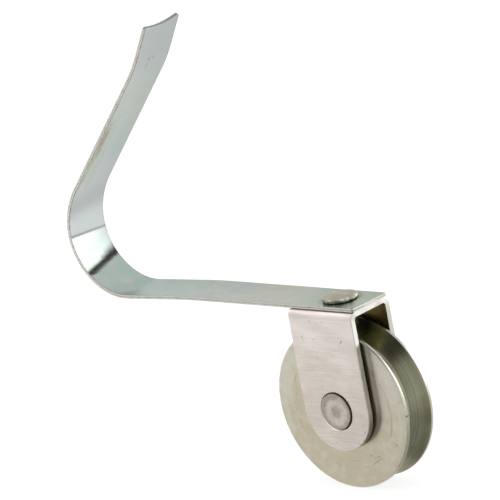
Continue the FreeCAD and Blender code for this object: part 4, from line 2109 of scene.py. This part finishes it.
    def _lit_finish(self, top: float) -> bpy.types.Material:
        """Light the panel: dimmer towards the right, where its upper edge is softer too.

        Args:
            top: Height of the panel's upper edge.

        Returns:
            The glowing finish.
        """
        material, graph = new_graph("lit_panel")
        sideways, height = self._place_on_panel(graph)
        sharp, soft = self.panel_fade
        fade = sharp + sideways.rise(*self.panel_fade_span) * (soft - sharp)
        dimmed = graph.mixed(sideways.rise(*self.panel_dim_span), grey(1.0), grey(self.panel_dim_level))
        below_top = ((top - height) / fade).rise(0.0, 1.0)
        self._glow(graph, graph.mixed(below_top, grey(self.panel_top_level), dimmed), self.panel_level)
        return material

    def _cloth_finish(self, top: float) -> bpy.types.Material:
        """Darken the cloth over the panel, up to a soft hem.

        Args:
            top: Height of the panel's upper edge.

        Returns:
            The cloth's finish.
        """
        material, graph = new_graph("dark_cloth")
        height = self._place_on_panel(graph)[1]
        hem = height.rise(*(top + share * self.rim_height for share in self.rim_fade))
        self._glow(graph, graph.mixed(hem, self.cloth, grey(1.0)), 1.0)
        return material

    def _place_on_panel(self, graph: Graph) -> tuple[Value, Value]:
        """Read the place on the panel.

        Args:
            graph: The graph it is read in.

        Returns:
            The place along the panel's foot, and the height with a ragged hem.
        """
        place = graph.node("ShaderNodeNewGeometry").outputs["Position"]
        sideways = graph.along(place, self._sideways())
        ragged = graph.noise(graph.joined(sideways, 0.0, 0.0), self.hem_waves)
        return sideways, graph.parts(place)[2] + (ragged - 0.5) * self.ragged_hem

    @staticmethod
    def _glow(graph: Graph, colour: Paint, strength: float) -> None:
        """End a graph in a black surface that glows.

        Args:
            graph: The graph.
            colour: Colour of the glow.
            strength: Its strength.
        """
        sockets = {"Base Color": grey(0.0), "Emission Color": colour, "Emission Strength": strength}
        graph.surface(graph.node("ShaderNodeBsdfPrincipled", sockets=sockets))

    def _sideways(self) -> Vector:
        """Direction along the panel's foot."""
        return Vector((self.panel_middle.y, -self.panel_middle.x, 0.0)).normalized()

    def _sheet(self, name: str, low: Sequence[float], high: Sequence[float],
               material: bpy.types.Material) -> None:
        """Stand an upright sheet behind the roller that only reflections see.

        Args:
            name: Name of the sheet.
            low: Heights of its lower edge at the left and the right.
            high: Heights of its upper edge at the left and the right.
            material: Its finish.
        """
        middle = Vector((self.panel_middle.x, self.panel_middle.y, 0.0))
        right = self._sideways() * self.panel_size[0] / 2
        left_end, right_end = middle - right, middle + right
        ends = ((left_end, low[0]), (right_end, low[1]), (right_end, high[1]), (left_end, high[0]))
        corners = [end + Z_AXIS * height for end, height in ends]
        sheet = make_piece(name, corners, [(0, 1, 2, 3)], [-middle.normalized()] * 4)
        sheet.data.materials.append(material)
        sheet.visible_camera = False
        sheet.visible_diffuse = False
        sheet.visible_shadow = False


def main() -> None:
    """Build the roller's pieces in order and report each, then set up the camera and the studio."""
    logging.basicConfig(level=logging.INFO, format="%(name)s: %(message)s")
    for piece in (SpringArm(), Clevis(), ArmRivet(), AxlePin(), GrooveWheel()):
        made = piece.build()
        LOG.info("%s: %d faces on %s", made.name, len(made.data.polygons), piece.body.value)
    ViewCamera().build()
    Studio().build()


if __name__ == "__main__":
    main()
